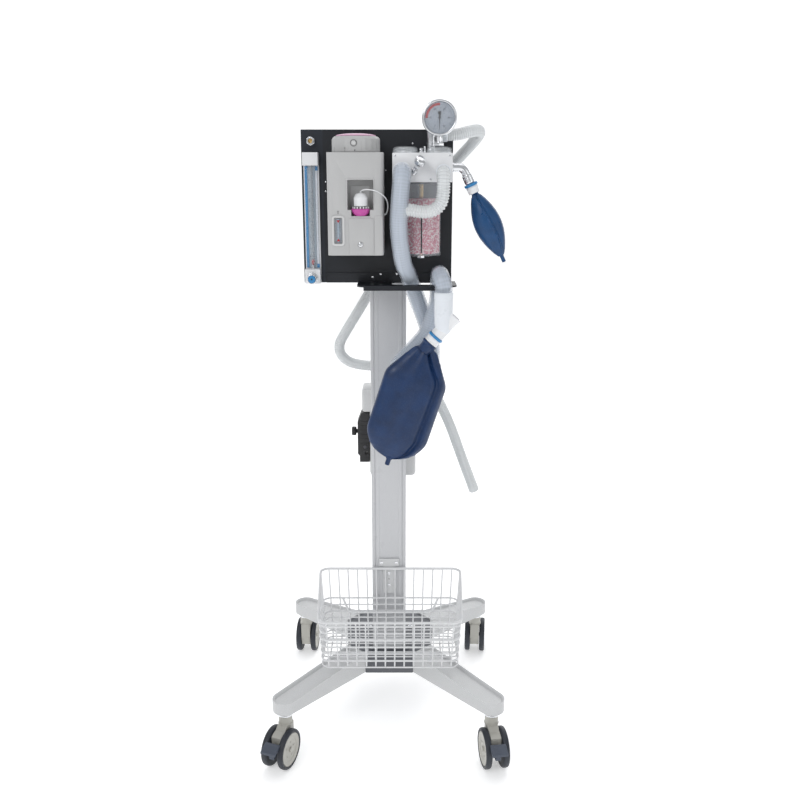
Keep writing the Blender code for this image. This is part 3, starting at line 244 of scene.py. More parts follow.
def softened(profile, radius, steps=3):
    """Polyline whose inner corners are quadratic curves: (1-t)^2 a + 2t(1-t) corner + t^2 b.

    a and b lie on the two sides, at the radius from the corner or at 45 % of the side where that is
    shorter.
    """
    p = np.asarray(profile, float)
    before, after = p[:-2] - p[1:-1], p[2:] - p[1:-1]
    lb, la = np.linalg.norm(before, axis=1)[:, None], np.linalg.norm(after, axis=1)[:, None]
    a = p[1:-1] + before / lb * np.minimum(radius, 0.45 * lb)
    b = p[1:-1] + after / la * np.minimum(radius, 0.45 * la)
    t = np.linspace(0, 1, steps + 1)[None, :, None]
    curves = (1 - t) ** 2 * a[:, None] + 2 * t * (1 - t) * p[1:-1][:, None] + t**2 * b[:, None]
    return np.concatenate([p[:1], curves.reshape(-1, p.shape[1]), p[-1:]])


def lathe(profile, matrix=None, steps=48, swell=None, closed=False):
    """Surface of revolution: (r cos a, r sin a, h) for the profile's (r, h) and the angle a.

    swell(profile, a) multiplies r, for flutes, ribs and hexagons. Rings of radius 0 are welded into
    poles. closed joins the last ring to the first, for a body with a hole along its axis.
    """
    p = np.asarray(profile, float)
    angle = np.arange(steps) * TURN / steps
    r = np.repeat(p[:, :1], steps, axis=1)
    if swell is not None:
        r = r * swell(p, angle)
    h = np.repeat(p[:, 1:], steps, axis=1)
    points = np.stack([r * np.cos(angle), r * np.sin(angle), h], axis=-1)
    trail = np.stack([h, np.cos(angle) + 0 * h, np.sin(angle) + 0 * h], axis=-1)
    shape = outward(grid(points, trail, closed=closed))
    return shape if matrix is None else placed(shape, matrix)


def turned(profile, edge, matrix=None, steps=48, swell=None, closed=False):
    """Surface of revolution of a profile whose corners are softened over that edge."""
    return lathe(softened(profile, edge), matrix, steps, swell, closed)


def hexagon(p, a):
    """Radius of a hexagon over the radius of its inner circle: 1 / cos(a folded into -30..30 degrees)."""
    fold = (a + TURN / 12) % (TURN / 6) - TURN / 12
    return np.ones((len(p), 1)) / np.cos(fold)[None, :]


def wavy(count, depth, top=None, bottom=None, power=1.0):
    """Swell function: 1 - depth (1 - |cos(count a / 2)|^power) between two heights, for flutes and ribs."""

    def swell(p, a):
        on = np.ones(len(p))
        if top is not None:
            on *= p[:, 1] < top
        if bottom is not None:
            on *= p[:, 1] > bottom
        return 1 - on[:, None] * depth * (1 - np.abs(np.cos(count * a / 2))[None, :] ** power)

    return swell


def frames(path):
    """Two unit vectors across each point of a path, carried along without twist."""
    path = np.asarray(path, float)
    run = np.gradient(path, axis=0)
    run /= np.linalg.norm(run, axis=1)[:, None]
    first = np.cross(run[0], Z_AXIS if abs(run[0][2]) < 0.9 else X_AXIS)
    sides = [first / np.linalg.norm(first)]
    for direction in run[1:]:
        side = sides[-1] - direction * (sides[-1] @ direction)
        sides.append(side / np.linalg.norm(side))
    side = np.array(sides)
    return run, side, np.cross(run, side)


def tube(path, radius, steps=16, closed=False, dome=True, flat=1.0):
    """Round tube along a path: c(s) + r(s) (cos a u(s) + flat sin a v(s)), with u and v across the path.

    The ends close with a shallow dome of three shrinking rings, or, for a closed path, join each other.
    """
    path = np.asarray(path, float)
    radius = np.broadcast_to(np.asarray(radius, float), (len(path),)).copy()
    if closed:
        run = np.roll(path, -1, axis=0) - np.roll(path, 1, axis=0)
        run /= np.linalg.norm(run, axis=1)[:, None]
        normal = np.linalg.svd(path - path.mean(0))[2][2]
        side = np.cross(run, normal)
        side /= np.linalg.norm(side, axis=1)[:, None]
        up = np.cross(run, side)
    else:
        run, side, up = frames(path)
        if dome:
            shrink = np.array([0.0, 0.55, 0.87])
            push = np.array([0.3, 0.25, 0.12])
            head = path[0] - run[0] * (radius[0] * push[:, None])
            tail = path[-1] + run[-1] * (radius[-1] * push[::-1, None])
            path = np.concatenate([head, path, tail])
            radius = np.concatenate([radius[0] * shrink, radius, radius[-1] * shrink[::-1]])
        else:
            path = np.concatenate([path[:1], path, path[-1:]])
            radius = np.concatenate([[0.0], radius, [0.0]])
        pad = (len(path) - len(run)) // 2
        side = np.concatenate([np.repeat(side[:1], pad, 0), side, np.repeat(side[-1:], pad, 0)])
        up = np.concatenate([np.repeat(up[:1], pad, 0), up, np.repeat(up[-1:], pad, 0)])
    angle = np.arange(steps) * TURN / steps
    ring = np.cos(angle)[None, :, None] * side[:, None] + flat * np.sin(angle)[None, :, None] * up[:, None]
    points = path[:, None] + radius[:, None, None] * ring
    along = np.concatenate([[0], np.cumsum(np.linalg.norm(np.diff(path, axis=0), axis=1))])
    trail = np.stack(np.broadcast_arrays(along[:, None], np.cos(angle)[None], np.sin(angle)[None]), axis=-1)
    return outward(grid(points, trail, closed=closed))


def rounded_box(low, high, radius=0.001, steps=3):
    """Box with round edges: for each direction of a sphere grid,
    the corner on that side plus radius x direction.
    """
    low, high = np.minimum(low, high).astype(float), np.maximum(low, high).astype(float)
    radius = min(radius, 0.49 * (high - low).min())
    quarter = np.linspace(0, TURN / 4, steps + 1)
    turn = np.concatenate([quarter + k * TURN / 4 for k in range(4)])
    tilt = np.concatenate([quarter - TURN / 4, quarter])
    west = np.concatenate([np.full(steps + 1, s) for s in (1, -1, -1, 1)])
    south = np.concatenate([np.full(steps + 1, s) for s in (1, 1, -1, -1)])
    up = np.concatenate([np.full(steps + 1, -1), np.full(steps + 1, 1)])
    ball = np.stack([np.cos(tilt)[:, None] * np.cos(turn), np.cos(tilt)[:, None] * np.sin(turn),
        np.sin(tilt)[:, None] + 0 * turn], axis=-1)
    sign = np.stack(np.broadcast_arrays(west[None], south[None], up[:, None]), axis=-1)
    points = (low + high) / 2 + sign * ((high - low) / 2 - radius) + radius * ball
    return outward(grid(points, caps=True))


def inset(outline, distance):
    """Outline moved in by a distance: p - d (n1 + n2) / (1 + n1 . n2), with n1 and n2 the normals beside p."""
    side = np.roll(outline, -1, axis=0) - outline
    normal = np.stack([side[:, 1], -side[:, 0]], axis=1) / np.maximum(np.linalg.norm(side, axis=1),
        TINY)[:, None]
    turn = np.sign(np.cross(outline, np.roll(outline, -1, axis=0)).sum())
    normal *= turn
    before = np.roll(normal, 1, axis=0)
    mitre = (before + normal) / np.maximum(1 + (before * normal).sum(1), 0.3)[:, None]
    return outline - distance * mitre


def slab(outline, low, high, edge=0.001, steps=3, axis="Z"):
    """Outline carried from low to high with quarter round edges: inset e (1 - cos t), height e (1 - sin t)."""
    outline = np.asarray(outline, float)
    t = np.linspace(0, TURN / 4, steps + 1)
    edge = min(edge, 0.49 * (high - low))
    bottom = [(edge * (1 - math.sin(x)), low + edge * (1 - math.cos(x))) for x in t]
    top = [(edge * (1 - math.sin(x)), high - edge * (1 - math.cos(x))) for x in t[::-1]]
    rings = []
    for gap, h in bottom + top:
        flat = inset(outline, gap)
        rings.append(np.column_stack([flat, np.full(len(flat), h)]))
    points = np.array(rings)
    points = {"Z": points, "Y": points[..., [0, 2, 1]], "X": points[..., [2, 0, 1]]}[axis]
    return outward(grid(points, caps=True))


def rectangle(low, high, radius, steps=6):
    """Rectangle with round corners: the corner circles' centres plus radius (cos a, sin a),
    a quarter turn each.
    """
    (x0, y0), (x1, y1) = low, high
    a = np.linspace(0, TURN / 4, steps + 1)
    centres = [(x1 - radius, y1 - radius), (x0 + radius, y1 - radius), (x0 + radius, y0 + radius),
        (x1 - radius, y0 + radius)]
    arcs = [np.array(c) + radius * np.column_stack([np.cos(a + k * TURN / 4), np.sin(a + k * TURN / 4)])
        for k, c in enumerate(centres)]
    return np.concatenate(arcs)


def smooth_route(points, per_span):
    """Catmull-Rom curve through the points: the cubic of each four neighbours,
    per_span samples for each span.
    """
    p = np.asarray(points, float)
    p = np.concatenate([[2 * p[0] - p[1]], p, [2 * p[-1] - p[-2]]])
    t = (np.arange(per_span) / per_span)[None, :, None]
    p0, p1, p2, p3 = (p[k:len(p) - 3 + k][:, None] for k in range(4))
    cubic = 2 * p1 + (p2 - p0) * t + (2 * p0 - 5 * p1 + 4 * p2 - p3) * t**2
    curve = (cubic + (3 * p1 - p0 - 3 * p2 + p3) * t**3) / 2
    return np.concatenate([curve.reshape(-1, 3), p[-2:-1]])


def evenly(path, count):
    """The path's points at equal distances along it."""
    path = np.asarray(path, float)
    s = np.concatenate([[0], np.cumsum(np.linalg.norm(np.diff(path, axis=0), axis=1))])
    even = np.linspace(0, s[-1], count)
    return np.column_stack([np.interp(even, s, path[:, k]) for k in range(3)])


def path_length(path):
    """Length of a polyline."""
    return float(np.linalg.norm(np.diff(np.asarray(path), axis=0), axis=1).sum())


# ---------------------------------------------------------------- pieces


def make_piece(name, parts, body, replaced=(), slot=None, crease=38.0):
    """Joins (surface, material) pairs into one object at the origin,
    welds it and lets it ride on a CAD body.
    """
    materials, points, faces, trails, index, start = [], [], [], [], [], 0
    for shape, material in parts:
        if material not in materials:
            materials.append(material)
        points.append(shape[0])
        trails.append(shape[2])
        faces += [[v + start for v in f] for f in shape[1]]
        index += [materials.index(material)] * len(shape[1])
        start += len(shape[0])
    mesh = bpy.data.meshes.new(name)
    mesh.from_pydata(np.concatenate(points).tolist(), [], faces)
    mesh.polygons.foreach_set("material_index", np.array(index, np.int32))
    trail = mesh.attributes.new("trail", "FLOAT_VECTOR", "POINT")
    trail.data.foreach_set("vector", np.concatenate(trails).astype(np.float32).ravel())
    for material in materials:
        mesh.materials.append(LOOKS[material])
    bm = bmesh.new()
    bm.from_mesh(mesh)
    bmesh.ops.remove_doubles(bm, verts=bm.verts, dist=2e-7)
    bmesh.ops.dissolve_degenerate(bm, dist=1e-7, edges=bm.edges)
    bm.to_mesh(mesh)
    bm.free()
    mesh.shade_smooth()
    mesh.set_sharp_from_angle(angle=math.radians(crease))
    return mount(name, mesh, body, replaced)


def fixed(name, parts, slot, **more):
    """Piece of the frame that stands for the CAD node of its name."""
    return make_piece(name, parts, "frame", (name,), slot, **more)


def moving(name, parts, slot, **more):
    """Piece on the moving body of its name that stands for the CAD node of its name."""
    return make_piece(name, parts, name, (name,), slot, **more)


def trim(name, parts, slot, **more):
    """Piece of the frame that stands for no CAD node of its own."""
    return make_piece(name, parts, "frame", (), slot, **more)


def mount(name, mesh, body, replaced=()):
    """Puts a mesh into the scene as a piece that rides on a CAD body and stands for CAD nodes."""
    obj = bpy.data.objects.new(f"{name}_look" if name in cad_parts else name, mesh)
    bpy.context.scene.collection.objects.link(obj)
    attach(obj, body)
    if replaced:
        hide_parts(*replaced)
    return obj


def refined(node, material, body, edge, steps=2, angle=30.0, crease=35.0, name=None):
    """Merged copy of a CAD node with its flat faces made whole and its sharp edges rounded."""
    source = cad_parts[node]
    bm = bmesh.new()
    bm.from_mesh(source.data)
    bmesh.ops.remove_doubles(bm, verts=bm.verts, dist=2e-6)
    bmesh.ops.dissolve_limit(bm, angle_limit=math.radians(0.6), verts=bm.verts, edges=bm.edges)
    bmesh.ops.recalc_face_normals(bm, faces=bm.faces)
    mesh = bpy.data.meshes.new(name or f"{node}_look")
    bm.to_mesh(mesh)
    bm.free()
    mesh.materials.clear()
    mesh.materials.append(LOOKS[material])
    obj = mount(name or node, mesh, body, (node,))
    if edge:
        bevel = obj.modifiers.new("Rounded edges", "BEVEL")
        bevel.width, bevel.segments = edge, steps
        bevel.limit_method, bevel.angle_limit = "ANGLE", math.radians(angle)
        bevel.miter_outer = "MITER_ARC"
    mesh.shade_smooth()
    mesh.set_sharp_from_angle(angle=math.radians(crease))
    return obj


def lettering(text, size, at, material_depth=0.00012):
    """Raised digits as a surface, upright in the XZ plane and facing -Y, centred on a point."""
    curve = bpy.data.curves.new("digits", "FONT")
    curve.body, curve.size = text, size
    curve.align_x, curve.align_y = "CENTER", "CENTER"
    curve.extrude, curve.resolution_u = material_depth / 2, 2
    holder = bpy.data.objects.new("digits", curve)
    bpy.context.scene.collection.objects.link(holder)
    made = holder.to_mesh()
    points = np.array([v.co for v in made.vertices])
    faces = [list(p.vertices) for p in made.polygons]
    holder.to_mesh_clear()
    bpy.data.objects.remove(holder)
    bpy.data.curves.remove(curve)
    upright = np.column_stack([points[:, 0], -points[:, 2], points[:, 1]]) + np.asarray(at, float)
    return surface(upright, faces)


def screw_head(at, direction, radius, height=0.0012, socket=0.42):
    """Pan head screw: a low dome whose middle sinks into a hexagonal socket."""
    hole = socket * radius
    profile = [(0, height * 0.35), (hole, height * 0.35), (hole, height), (radius * 0.7, height),
        (radius * 0.93, height * 0.75), (radius, height * 0.3), (radius, -0.0002), (0, -0.0002)]

    def swell(p, a):
        made = np.ones((len(p), len(a)))
        made[1:3] = hexagon(p[1:3], a)
        return made

    return lathe(profile, towards(direction, at), 24, swell)


# ---------------------------------------------------------------- finishes


class Finish:
    """A node material with short ways to add nodes to it."""

    def __init__(self, name):
        self.material = bpy.data.materials.new(name)
        self.material.use_nodes = True
        self.tree = self.material.node_tree
        self.shader = self.tree.nodes["Principled BSDF"]
        self.where = self.tree.nodes.new("ShaderNodeTexCoord").outputs["Object"]

    def set(self, **values):
        """Sets the shader's own sockets by name, with underscores for spaces."""
        for key, value in values.items():
            socket = self.shader.inputs[key.replace("_", " ")]
            socket.default_value = (*value, 1.0) if socket.type == "RGBA" and len(value) == 3 else value
        return self

    def node(self, kind, inputs=(), **settings):
        """Adds a node, sets its attributes, and sets or links its inputs by index or name."""
        made = self.tree.nodes.new(kind)
        for key, value in settings.items():
            setattr(made, key, value)
        for key, value in dict(inputs).items():
            if isinstance(value, bpy.types.NodeSocket):
                self.tree.links.new(value, made.inputs[key])
            else:
                made.inputs[key].default_value = value
        return made

    def link(self, output, name):
        """Links an output to one of the shader's own sockets."""
        self.tree.links.new(output, self.shader.inputs[name])
        return self

    def scaled(self, size):
        """Object coordinates multiplied along each axis."""
        return self.node("ShaderNodeMapping", {"Vector": self.where, "Scale": size}).outputs[0]

    def noise(self, scale, detail=2.0, where=None):
        """Noise over the object coordinates, as a number for each point."""
        return self.node("ShaderNodeTexNoise", {"Vector": where or self.where, "Scale": scale,
            "Detail": detail}).outputs["Fac"]

    def ramp(self, value, low, high, start=0.3, end=0.7):
        """Values from start to end become low to high, as numbers or as colours."""
        made = self.node("ShaderNodeValToRGB", {"Fac": value})
        for stop, at, shade in zip(made.color_ramp.elements, (start, end), (low, high)):
            stop.position = at
            stop.color = (*shade, 1.0) if hasattr(shade, "__len__") else (shade, shade, shade, 1.0)
        return made.outputs["Color"]

    def bump(self, height, distance, strength=1.0, after=None):
        """Bump of that height in metres; after is an earlier bump's normal."""
        inputs = {"Height": height, "Distance": distance, "Strength": strength}
        if after is not None:
            inputs["Normal"] = after
        return self.node("ShaderNodeBump", inputs).outputs["Normal"]

    def mix(self, factor, a, b, blend="MIX"):
        """Mixes two colours or sockets by a factor."""
        made = self.node("ShaderNodeMix", data_type="RGBA", blend_type=blend)
        for socket, value in ((made.inputs[0], factor), (made.inputs[6], a), (made.inputs[7], b)):
            if isinstance(value, bpy.types.NodeSocket):
                self.tree.links.new(value, socket)
            else:
                socket.default_value = (*value, 1.0) if hasattr(value,
                    "__len__") and len(value) == 3 else value
        return made.outputs[2]

    def math(self, operation, *values):
        """Math node of that operation over its inputs."""
        return self.node("ShaderNodeMath", dict(enumerate(values)), operation=operation).outputs[0]


def shade(base, factor):
    """A colour made darker or lighter."""
    return tuple(min(1.0, c * factor) for c in base)


def moulded(name, base, roughness=0.42, grain=900.0, depth=0.00004, variation=0.06, coat=0.0,
        subsurface=0.0):
    """Moulded plastic: slow colour drift, fine grain in the gloss and in the bump, and a soft sheen of wear."""
    f = Finish(name)
    drift = f.noise(9.0, 3.0)
    f.link(f.ramp(drift, shade(base, 1 - variation), shade(base, 1 + variation)), "Base Color")
    smear = f.noise(55.0, 4.0)
    f.link(f.ramp(smear, max(0.02, roughness - 0.07), roughness + 0.07), "Roughness")
    f.link(f.bump(f.noise(grain, 2.0), depth, 0.6), "Normal")
    return f.set(Coat_Weight=coat, Coat_Roughness=0.12, Subsurface_Weight=subsurface,
        Subsurface_Radius=(0.004,) * 3, IOR=1.49).material


def coated(name, base, roughness=0.4, peel=260.0, depth=0.00006, split=None):
    """Powder coat on metal: an orange peel bump, a fine speckle,
    and where split is given a band of another tone.
    """
    f = Finish(name)
    speckle = f.ramp(f.noise(2400.0, 1.0), shade(base, 0.86), shade(base, 1.14))
    if split is not None:
        limit, other = split
        x = f.node("ShaderNodeSeparateXYZ", {0: f.where}).outputs[0]
        speckle = f.mix(f.math("LESS_THAN", x, limit), speckle, other)
    f.link(speckle, "Base Color")
    f.link(f.ramp(f.noise(30.0, 4.0), roughness - 0.06, roughness + 0.08), "Roughness")
    peeled = f.bump(f.noise(peel, 2.0), depth, 0.7)
    f.link(f.bump(f.noise(2200.0, 1.0), 0.00001, 0.5, peeled), "Normal")
    return f.set(Specular_IOR_Level=0.45).material


def polished(name, base=(0.74, 0.75, 0.77), roughness=0.1, brushed=None):
    """Bright metal: smudges in the gloss, and fine turning or drawing marks where brushed gives their
    stretch.
    """
    f = Finish(name)
    f.link(f.ramp(f.noise(40.0, 5.0), roughness * 0.7, roughness * 1.8), "Roughness")
    f.link(f.ramp(f.noise(14.0, 2.0), shade(base, 0.93), shade(base, 1.05)), "Base Color")
    marks = f.noise(700.0, 2.0, f.scaled(brushed)) if brushed else f.noise(350.0, 3.0)
    f.link(f.bump(marks, 0.000006 if brushed else 0.000003, 0.5), "Normal")
    return f.set(Metallic=1.0).material


def clear(name, tint=(0.86, 0.9, 0.93), alpha=0.22, roughness=0.05):
    """Clear moulded plastic: a see-through skin with its own gloss and faint waves in the surface."""
    f = Finish(name)
    f.link(f.ramp(f.noise(60.0, 2.0), shade(tint, 0.95), tint), "Base Color")
    f.link(f.ramp(f.noise(35.0, 3.0), roughness, roughness + 0.08), "Roughness")
    f.link(f.bump(f.noise(90.0, 2.0), 0.00006, 0.5), "Normal")
    return f.set(Alpha=alpha, Coat_Weight=0.6, Coat_Roughness=0.03, IOR=1.49).material


def hose_wall(name, tint, alpha, band, rib, roughness=0.25, contrast=0.16):
    """Hose skin: painted shade and highlight in stripes across it every rib metres, and long soft lines of
    painted highlight, both from distance along and angle round.
    """
    f = Finish(name)
    trail = f.node("ShaderNodeAttribute", attribute_name="trail").outputs["Vector"]
    split = f.node("ShaderNodeSeparateXYZ", {0: trail})
    wave = f.math("SINE", f.math("MULTIPLY", split.outputs[0], TURN / rib))
    # Darker and lighter stripes with the rib wave: painted shade and highlight of the ribs.
    painted_rib_shading = f.ramp(f.math("MULTIPLY_ADD", wave, 0.5, 0.5), shade(tint, 1 - contrast),
        shade(tint, 1 + contrast * 0.4), 0.1, 0.9)
    # Long soft lines lighter than the tint: painted highlight.
    stretched = f.node("ShaderNodeMapping", {"Vector": trail, "Scale": (5.0, 2.2, 2.2)}).outputs[0]
    highlight_streak = f.noise(band, 3.0, stretched)
    f.link(f.mix(f.ramp(highlight_streak, 0.0, 0.75, 0.35, 0.75), painted_rib_shading, shade(tint, 1.25)), "Base Color")
    f.link(f.ramp(f.noise(70.0, 3.0), roughness - 0.06, roughness + 0.1), "Roughness")
    f.link(f.bump(wave, 0.00012, 0.5), "Normal")
    return f.set(Alpha=alpha, Coat_Weight=0.35, Coat_Roughness=0.08, Subsurface_Weight=0.12,
        Subsurface_Radius=(0.006,) * 3, IOR=1.45).material


def latex(name, base, roughness=0.42):
    """Bag rubber: a mottling of its tone, fine pale blue grey specks of painted highlight, shallow creases and
    a soft sheen at grazing angles.
    """
    f = Finish(name)
    mottle = f.ramp(f.noise(45.0, 5.0), shade(base, 0.8), shade(base, 1.22))
    # Fine specks of pale blue grey mixed into the tone: painted highlight on the dark rubber.
    f.link(f.mix(f.ramp(f.noise(650.0, 2.0), 0.0, 0.07, 0.5, 0.85), mottle, (0.25, 0.32, 0.42)),
        "Base Color")
    f.link(f.ramp(f.noise(60.0, 4.0), roughness - 0.1, roughness + 0.12), "Roughness")
    creases = f.bump(f.noise(38.0, 4.0, f.scaled((1.0, 1.0, 0.45))), 0.0011, 0.35)
    f.link(f.bump(f.noise(1300.0, 2.0), 0.00005, 0.5, creases), "Normal")
    return f.set(Sheen_Weight=0.05, Sheen_Roughness=0.4, Specular_IOR_Level=0.42, IOR=1.52).material


def granular(name, pink, white):
    """Granules: each one is pink or white after the number that its points carry, with a chalky rough skin."""
    f = Finish(name)
    trail = f.node("ShaderNodeAttribute", attribute_name="trail").outputs["Vector"]
    each = f.node("ShaderNodeSeparateXYZ", {0: trail}).outputs[0]
    f.link(f.ramp(each, pink, white, 0.35, 0.75), "Base Color")
    f.link(f.ramp(f.noise(900.0, 3.0), 0.75, 0.98), "Roughness")
    f.link(f.bump(f.noise(1500.0, 3.0), 0.0002, 0.8), "Normal")
    return f.set(Specular_IOR_Level=0.3).material


def printed(name, base, roughness=0.4):
    """Thin printed ink or film with a slight drift in its density."""
    f = Finish(name)
    f.link(f.ramp(f.noise(400.0, 2.0), shade(base, 0.9), shade(base, 1.1)), "Base Color")
    f.link(f.ramp(f.noise(120.0, 2.0), roughness - 0.05, roughness + 0.1), "Roughness")
    return f.material


LOOKS = {}


def make_finishes(c):
    """All finishes by name, from the colours of the property group."""
    panel_band = shade(c.panel, 1.9)
    LOOKS.update(panel=coated("black powder coat", c.panel, 0.36, split=(-0.1165, panel_band)),
        black_metal=coated("black coated steel", c.panel, 0.36), black=moulded("black moulded plastic",
        (0.011, 0.011, 0.013), 0.38, variation=0.2), column=coated("white coated extrusion", c.column, 0.33,
        420.0, 0.00003), leg=coated("pale grey leg coat", c.leg, 0.34, 520.0, 0.00004),
        hub=moulded("dark grey textured plastic", c.hub, 0.55, 700.0, 0.00012, 0.1),
        wire=moulded("white plastic coated wire", c.wire, 0.32, 500.0, 0.00003, 0.03, coat=0.2),
        white=moulded("white moulded plastic", c.white, 0.36, 800.0, 0.00003, 0.03, subsurface=0.05),
        vaporizer=moulded("warm grey fine texture", c.vaporizer, 0.46, 1500.0, 0.00005, 0.03),
        # A lighter copy of the vaporizer's grey, 1.25 times, with a smoother gloss: painted highlight on raised
        # parts.
        vaporizer_light=moulded("warm grey smooth with painted highlight", shade(c.vaporizer, 1.25), 0.4, 1500.0, 0.00002, 0.03),
        # A darker copy of the vaporizer's grey, 0.45 times: painted shade inside the connector's bore and round
        # the dial's button pocket, and the colour of the arrow, digits and dashes.
        vaporizer_dark=moulded("warm grey painted shade and marks", shade(c.vaporizer, 0.45), 0.5, 1500.0, 0.00002,
        0.05), beige=moulded("beige grey caster plastic", c.beige, 0.4, 900.0, 0.00005, 0.05, coat=0.1),
        tyre=moulded("blue black tread", c.tyre, 0.48, 600.0, 0.00006, 0.25),
        pedal=moulded("slate grey pedal", c.pedal, 0.45, 800.0, 0.00006, 0.1),
        chrome=polished("polished chrome"), turned=polished("turned chrome", roughness=0.14,
        brushed=(1.0, 1.0, 30.0)), brass=polished("drawn brass", (0.62, 0.43, 0.18), 0.2,
        brushed=(20.0, 20.0, 1.0)), dark_metal=polished("dark bolt metal", (0.1, 0.1, 0.11), 0.3),
        clear=clear("clear moulded plastic"), canister=clear("clear canister wall", (0.8, 0.84, 0.88), 0.16,
        0.04), lens=clear("gauge lens", (0.85, 0.88, 0.92), 0.07, 0.02), hose=hose_wall("smooth hose wall",
        c.hose, 0.42, 2.2, 0.0042, 0.16, 0.08), hose_core=hose_wall("ribbed hose core", shade(c.hose, 1.05),
        1.0, 3.0, 0.003, 0.35, 0.1), accordion=hose_wall("clear white accordion", (0.74, 0.76, 0.77), 0.78,
        2.0, 0.0046, 0.2, 0.1), grey_hose=hose_wall("pale grey hose", c.grey_hose, 0.94, 2.0, 0.0021, 0.34,
        0.1), cuff=moulded("pale cuff rubber", (0.72, 0.75, 0.79), 0.34, 700.0, 0.00003, 0.03,
        subsurface=0.15), large_bag=latex("dark blue bag rubber", c.large_bag),
        small_bag=latex("bright blue bag rubber", c.small_bag, 0.36), sky=moulded("bright blue plastic",
        c.sky, 0.3, 900.0, 0.00002, 0.05, coat=0.3), magenta=moulded("magenta collar", c.magenta, 0.35,
        900.0, 0.00002, 0.08, subsurface=0.1), pink=moulded("pink dial cap", c.pink, 0.34, 900.0, 0.00002,
        0.04), granules=granular("soda lime granules", c.granule_pink, c.granule_white),
        face=printed("gauge face", c.gauge_face, 0.5), scale_plate=printed("grey scale plate",
        (0.3, 0.36, 0.42), 0.35), ink=printed("black ink", (0.012, 0.012, 0.014)),
        red=printed("red ink", c.red), white_film=printed("white film", (0.62, 0.66, 0.72)),
        float=moulded("glossy red float", c.red, 0.2, coat=0.5), glass=printed("sight glass back",
        (0.26, 0.28, 0.31), 0.25), tether=moulded("milky tether", (0.75, 0.76, 0.77), 0.3, subsurface=0.2),)


# ---------------------------------------------------------------- hoses


def sizes():
    """The sizes of the property group."""
    return bpy.context.scene.anesthesia_sizes


def ridged(path, radius, pitch, depth, lead=0.0):
    """Radius of a corrugated tube along its path: r - depth (1 - cos(2 pi s / pitch)) / 2,
    plain for the lead.
    """
    s = np.concatenate([[0], np.cumsum(np.linalg.norm(np.diff(path, axis=0), axis=1))])
    wave = depth * (0.5 - 0.5 * np.cos(TURN * s / pitch))
    return radius - wave * ((s > lead) & (s < s[-1] - lead))


def make_breathing_hose():
    """Clear outer wall, ribbed inner core, and the collar where it leaves the port;
    it ends in the connector's cuff.
    """
    d = sizes().breathing_hose
    route = smooth_route(BREATHING_ROUTE, 8)
    path = evenly(route, 420)
    wall = fixed("breathing_hose", [(tube(path, d / 2 - 0.0002, 28), "hose")], "hose")
    fine = evenly(route, 1500)
    core_path = fine[8:-12]
    core = trim("breathing_hose_core", [(tube(core_path, ridged(core_path, d / 2 * 0.8, 0.003, 0.001), 20),
        "hose_core")], "hose")
    head = Box("absorber_head")
    collar = turned([(0.0122, 0), (0.0166, 0), (0.0166, 0.0062), (0.0122, 0.0062)], 0.001, towards(-Y_AXIS,
        (BREATHING_ROUTE[0][0], head.low[1] - 0.001, BREATHING_ROUTE[0][2])), 40, closed=True)
    ring = trim("breathing_hose_collar", [(collar, "cuff")], "white_plastic")
    return wall, path, [core, ring]


def make_connector():
    """White cuff on the hose's end and the slanted connector with its flared mouth,
    blue ring and ribbed neck.
    """
    cad = Box("hose_connector")
    middle = np.array([0.101, -0.1775, 0.874])
    run = np.array([-0.66, 0.0, -0.75]) / np.linalg.norm([0.66, 0.75])
    pipe = softened([(0.0118, -0.03), (0.0146, -0.031), (0.014, -0.0275), (0.0129, -0.021),
        (0.0126, -0.004), (0.0126, 0.0175), (0.0118, 0.0175)], 0.0012)
    bore = softened([(0.01, 0.0175), (0.01, -0.02), (0.0124, -0.0302)], 0.001)
    shell = lathe(np.concatenate([pipe, bore]), towards(run, middle), 48, closed=True)
    # A dark disc closes the bore: painted shade inside the connector.
    back = lathe([(0, -0.012), (0.0102, -0.012), (0.0102, -0.01), (0, -0.01)], towards(run, middle), 32)
    ring = turned([(0.011, 0.0176), (0.0147, 0.018), (0.0147, 0.0226), (0.011, 0.023)], 0.0012,
        towards(run, middle), 48, closed=True)
    neck = turned([(0.0, 0.0228), (0.013, 0.0228), (0.0134, 0.027), (0.0129, 0.0275), (0.0129, 0.031),
        (0.0134, 0.0315), (0.0134, 0.0342), (0.0, 0.0342)], 0.0007, towards(run, middle), 48)
    top = cad.high[2] - middle[2]
    cuff = turned([(0.0, -0.009), (0.0098, -0.009), (0.014, -0.002), (0.0158, 0.008), (0.0166, 0.022),
        (0.0168, top - 0.012), (0.0171, top - 0.01), (0.0171, top), (0.012, top), (0.0, top - 0.004)],
        0.0025, Matrix.Translation(Vector(middle)), 48)
    seam = turned([(0.0155, top - 0.0125), (0.0174, top - 0.0125), (0.0174, top - 0.0105),
        (0.0155, top - 0.0105)], 0.0008, Matrix.Translation(Vector(middle)), 48, closed=True)
    return fixed("hose_connector", [(shell, "white"), (back, "vaporizer_dark"), (ring, "sky"),
        (neck, "white"), (cuff, "cuff"), (seam, "cuff")], "white_plastic")


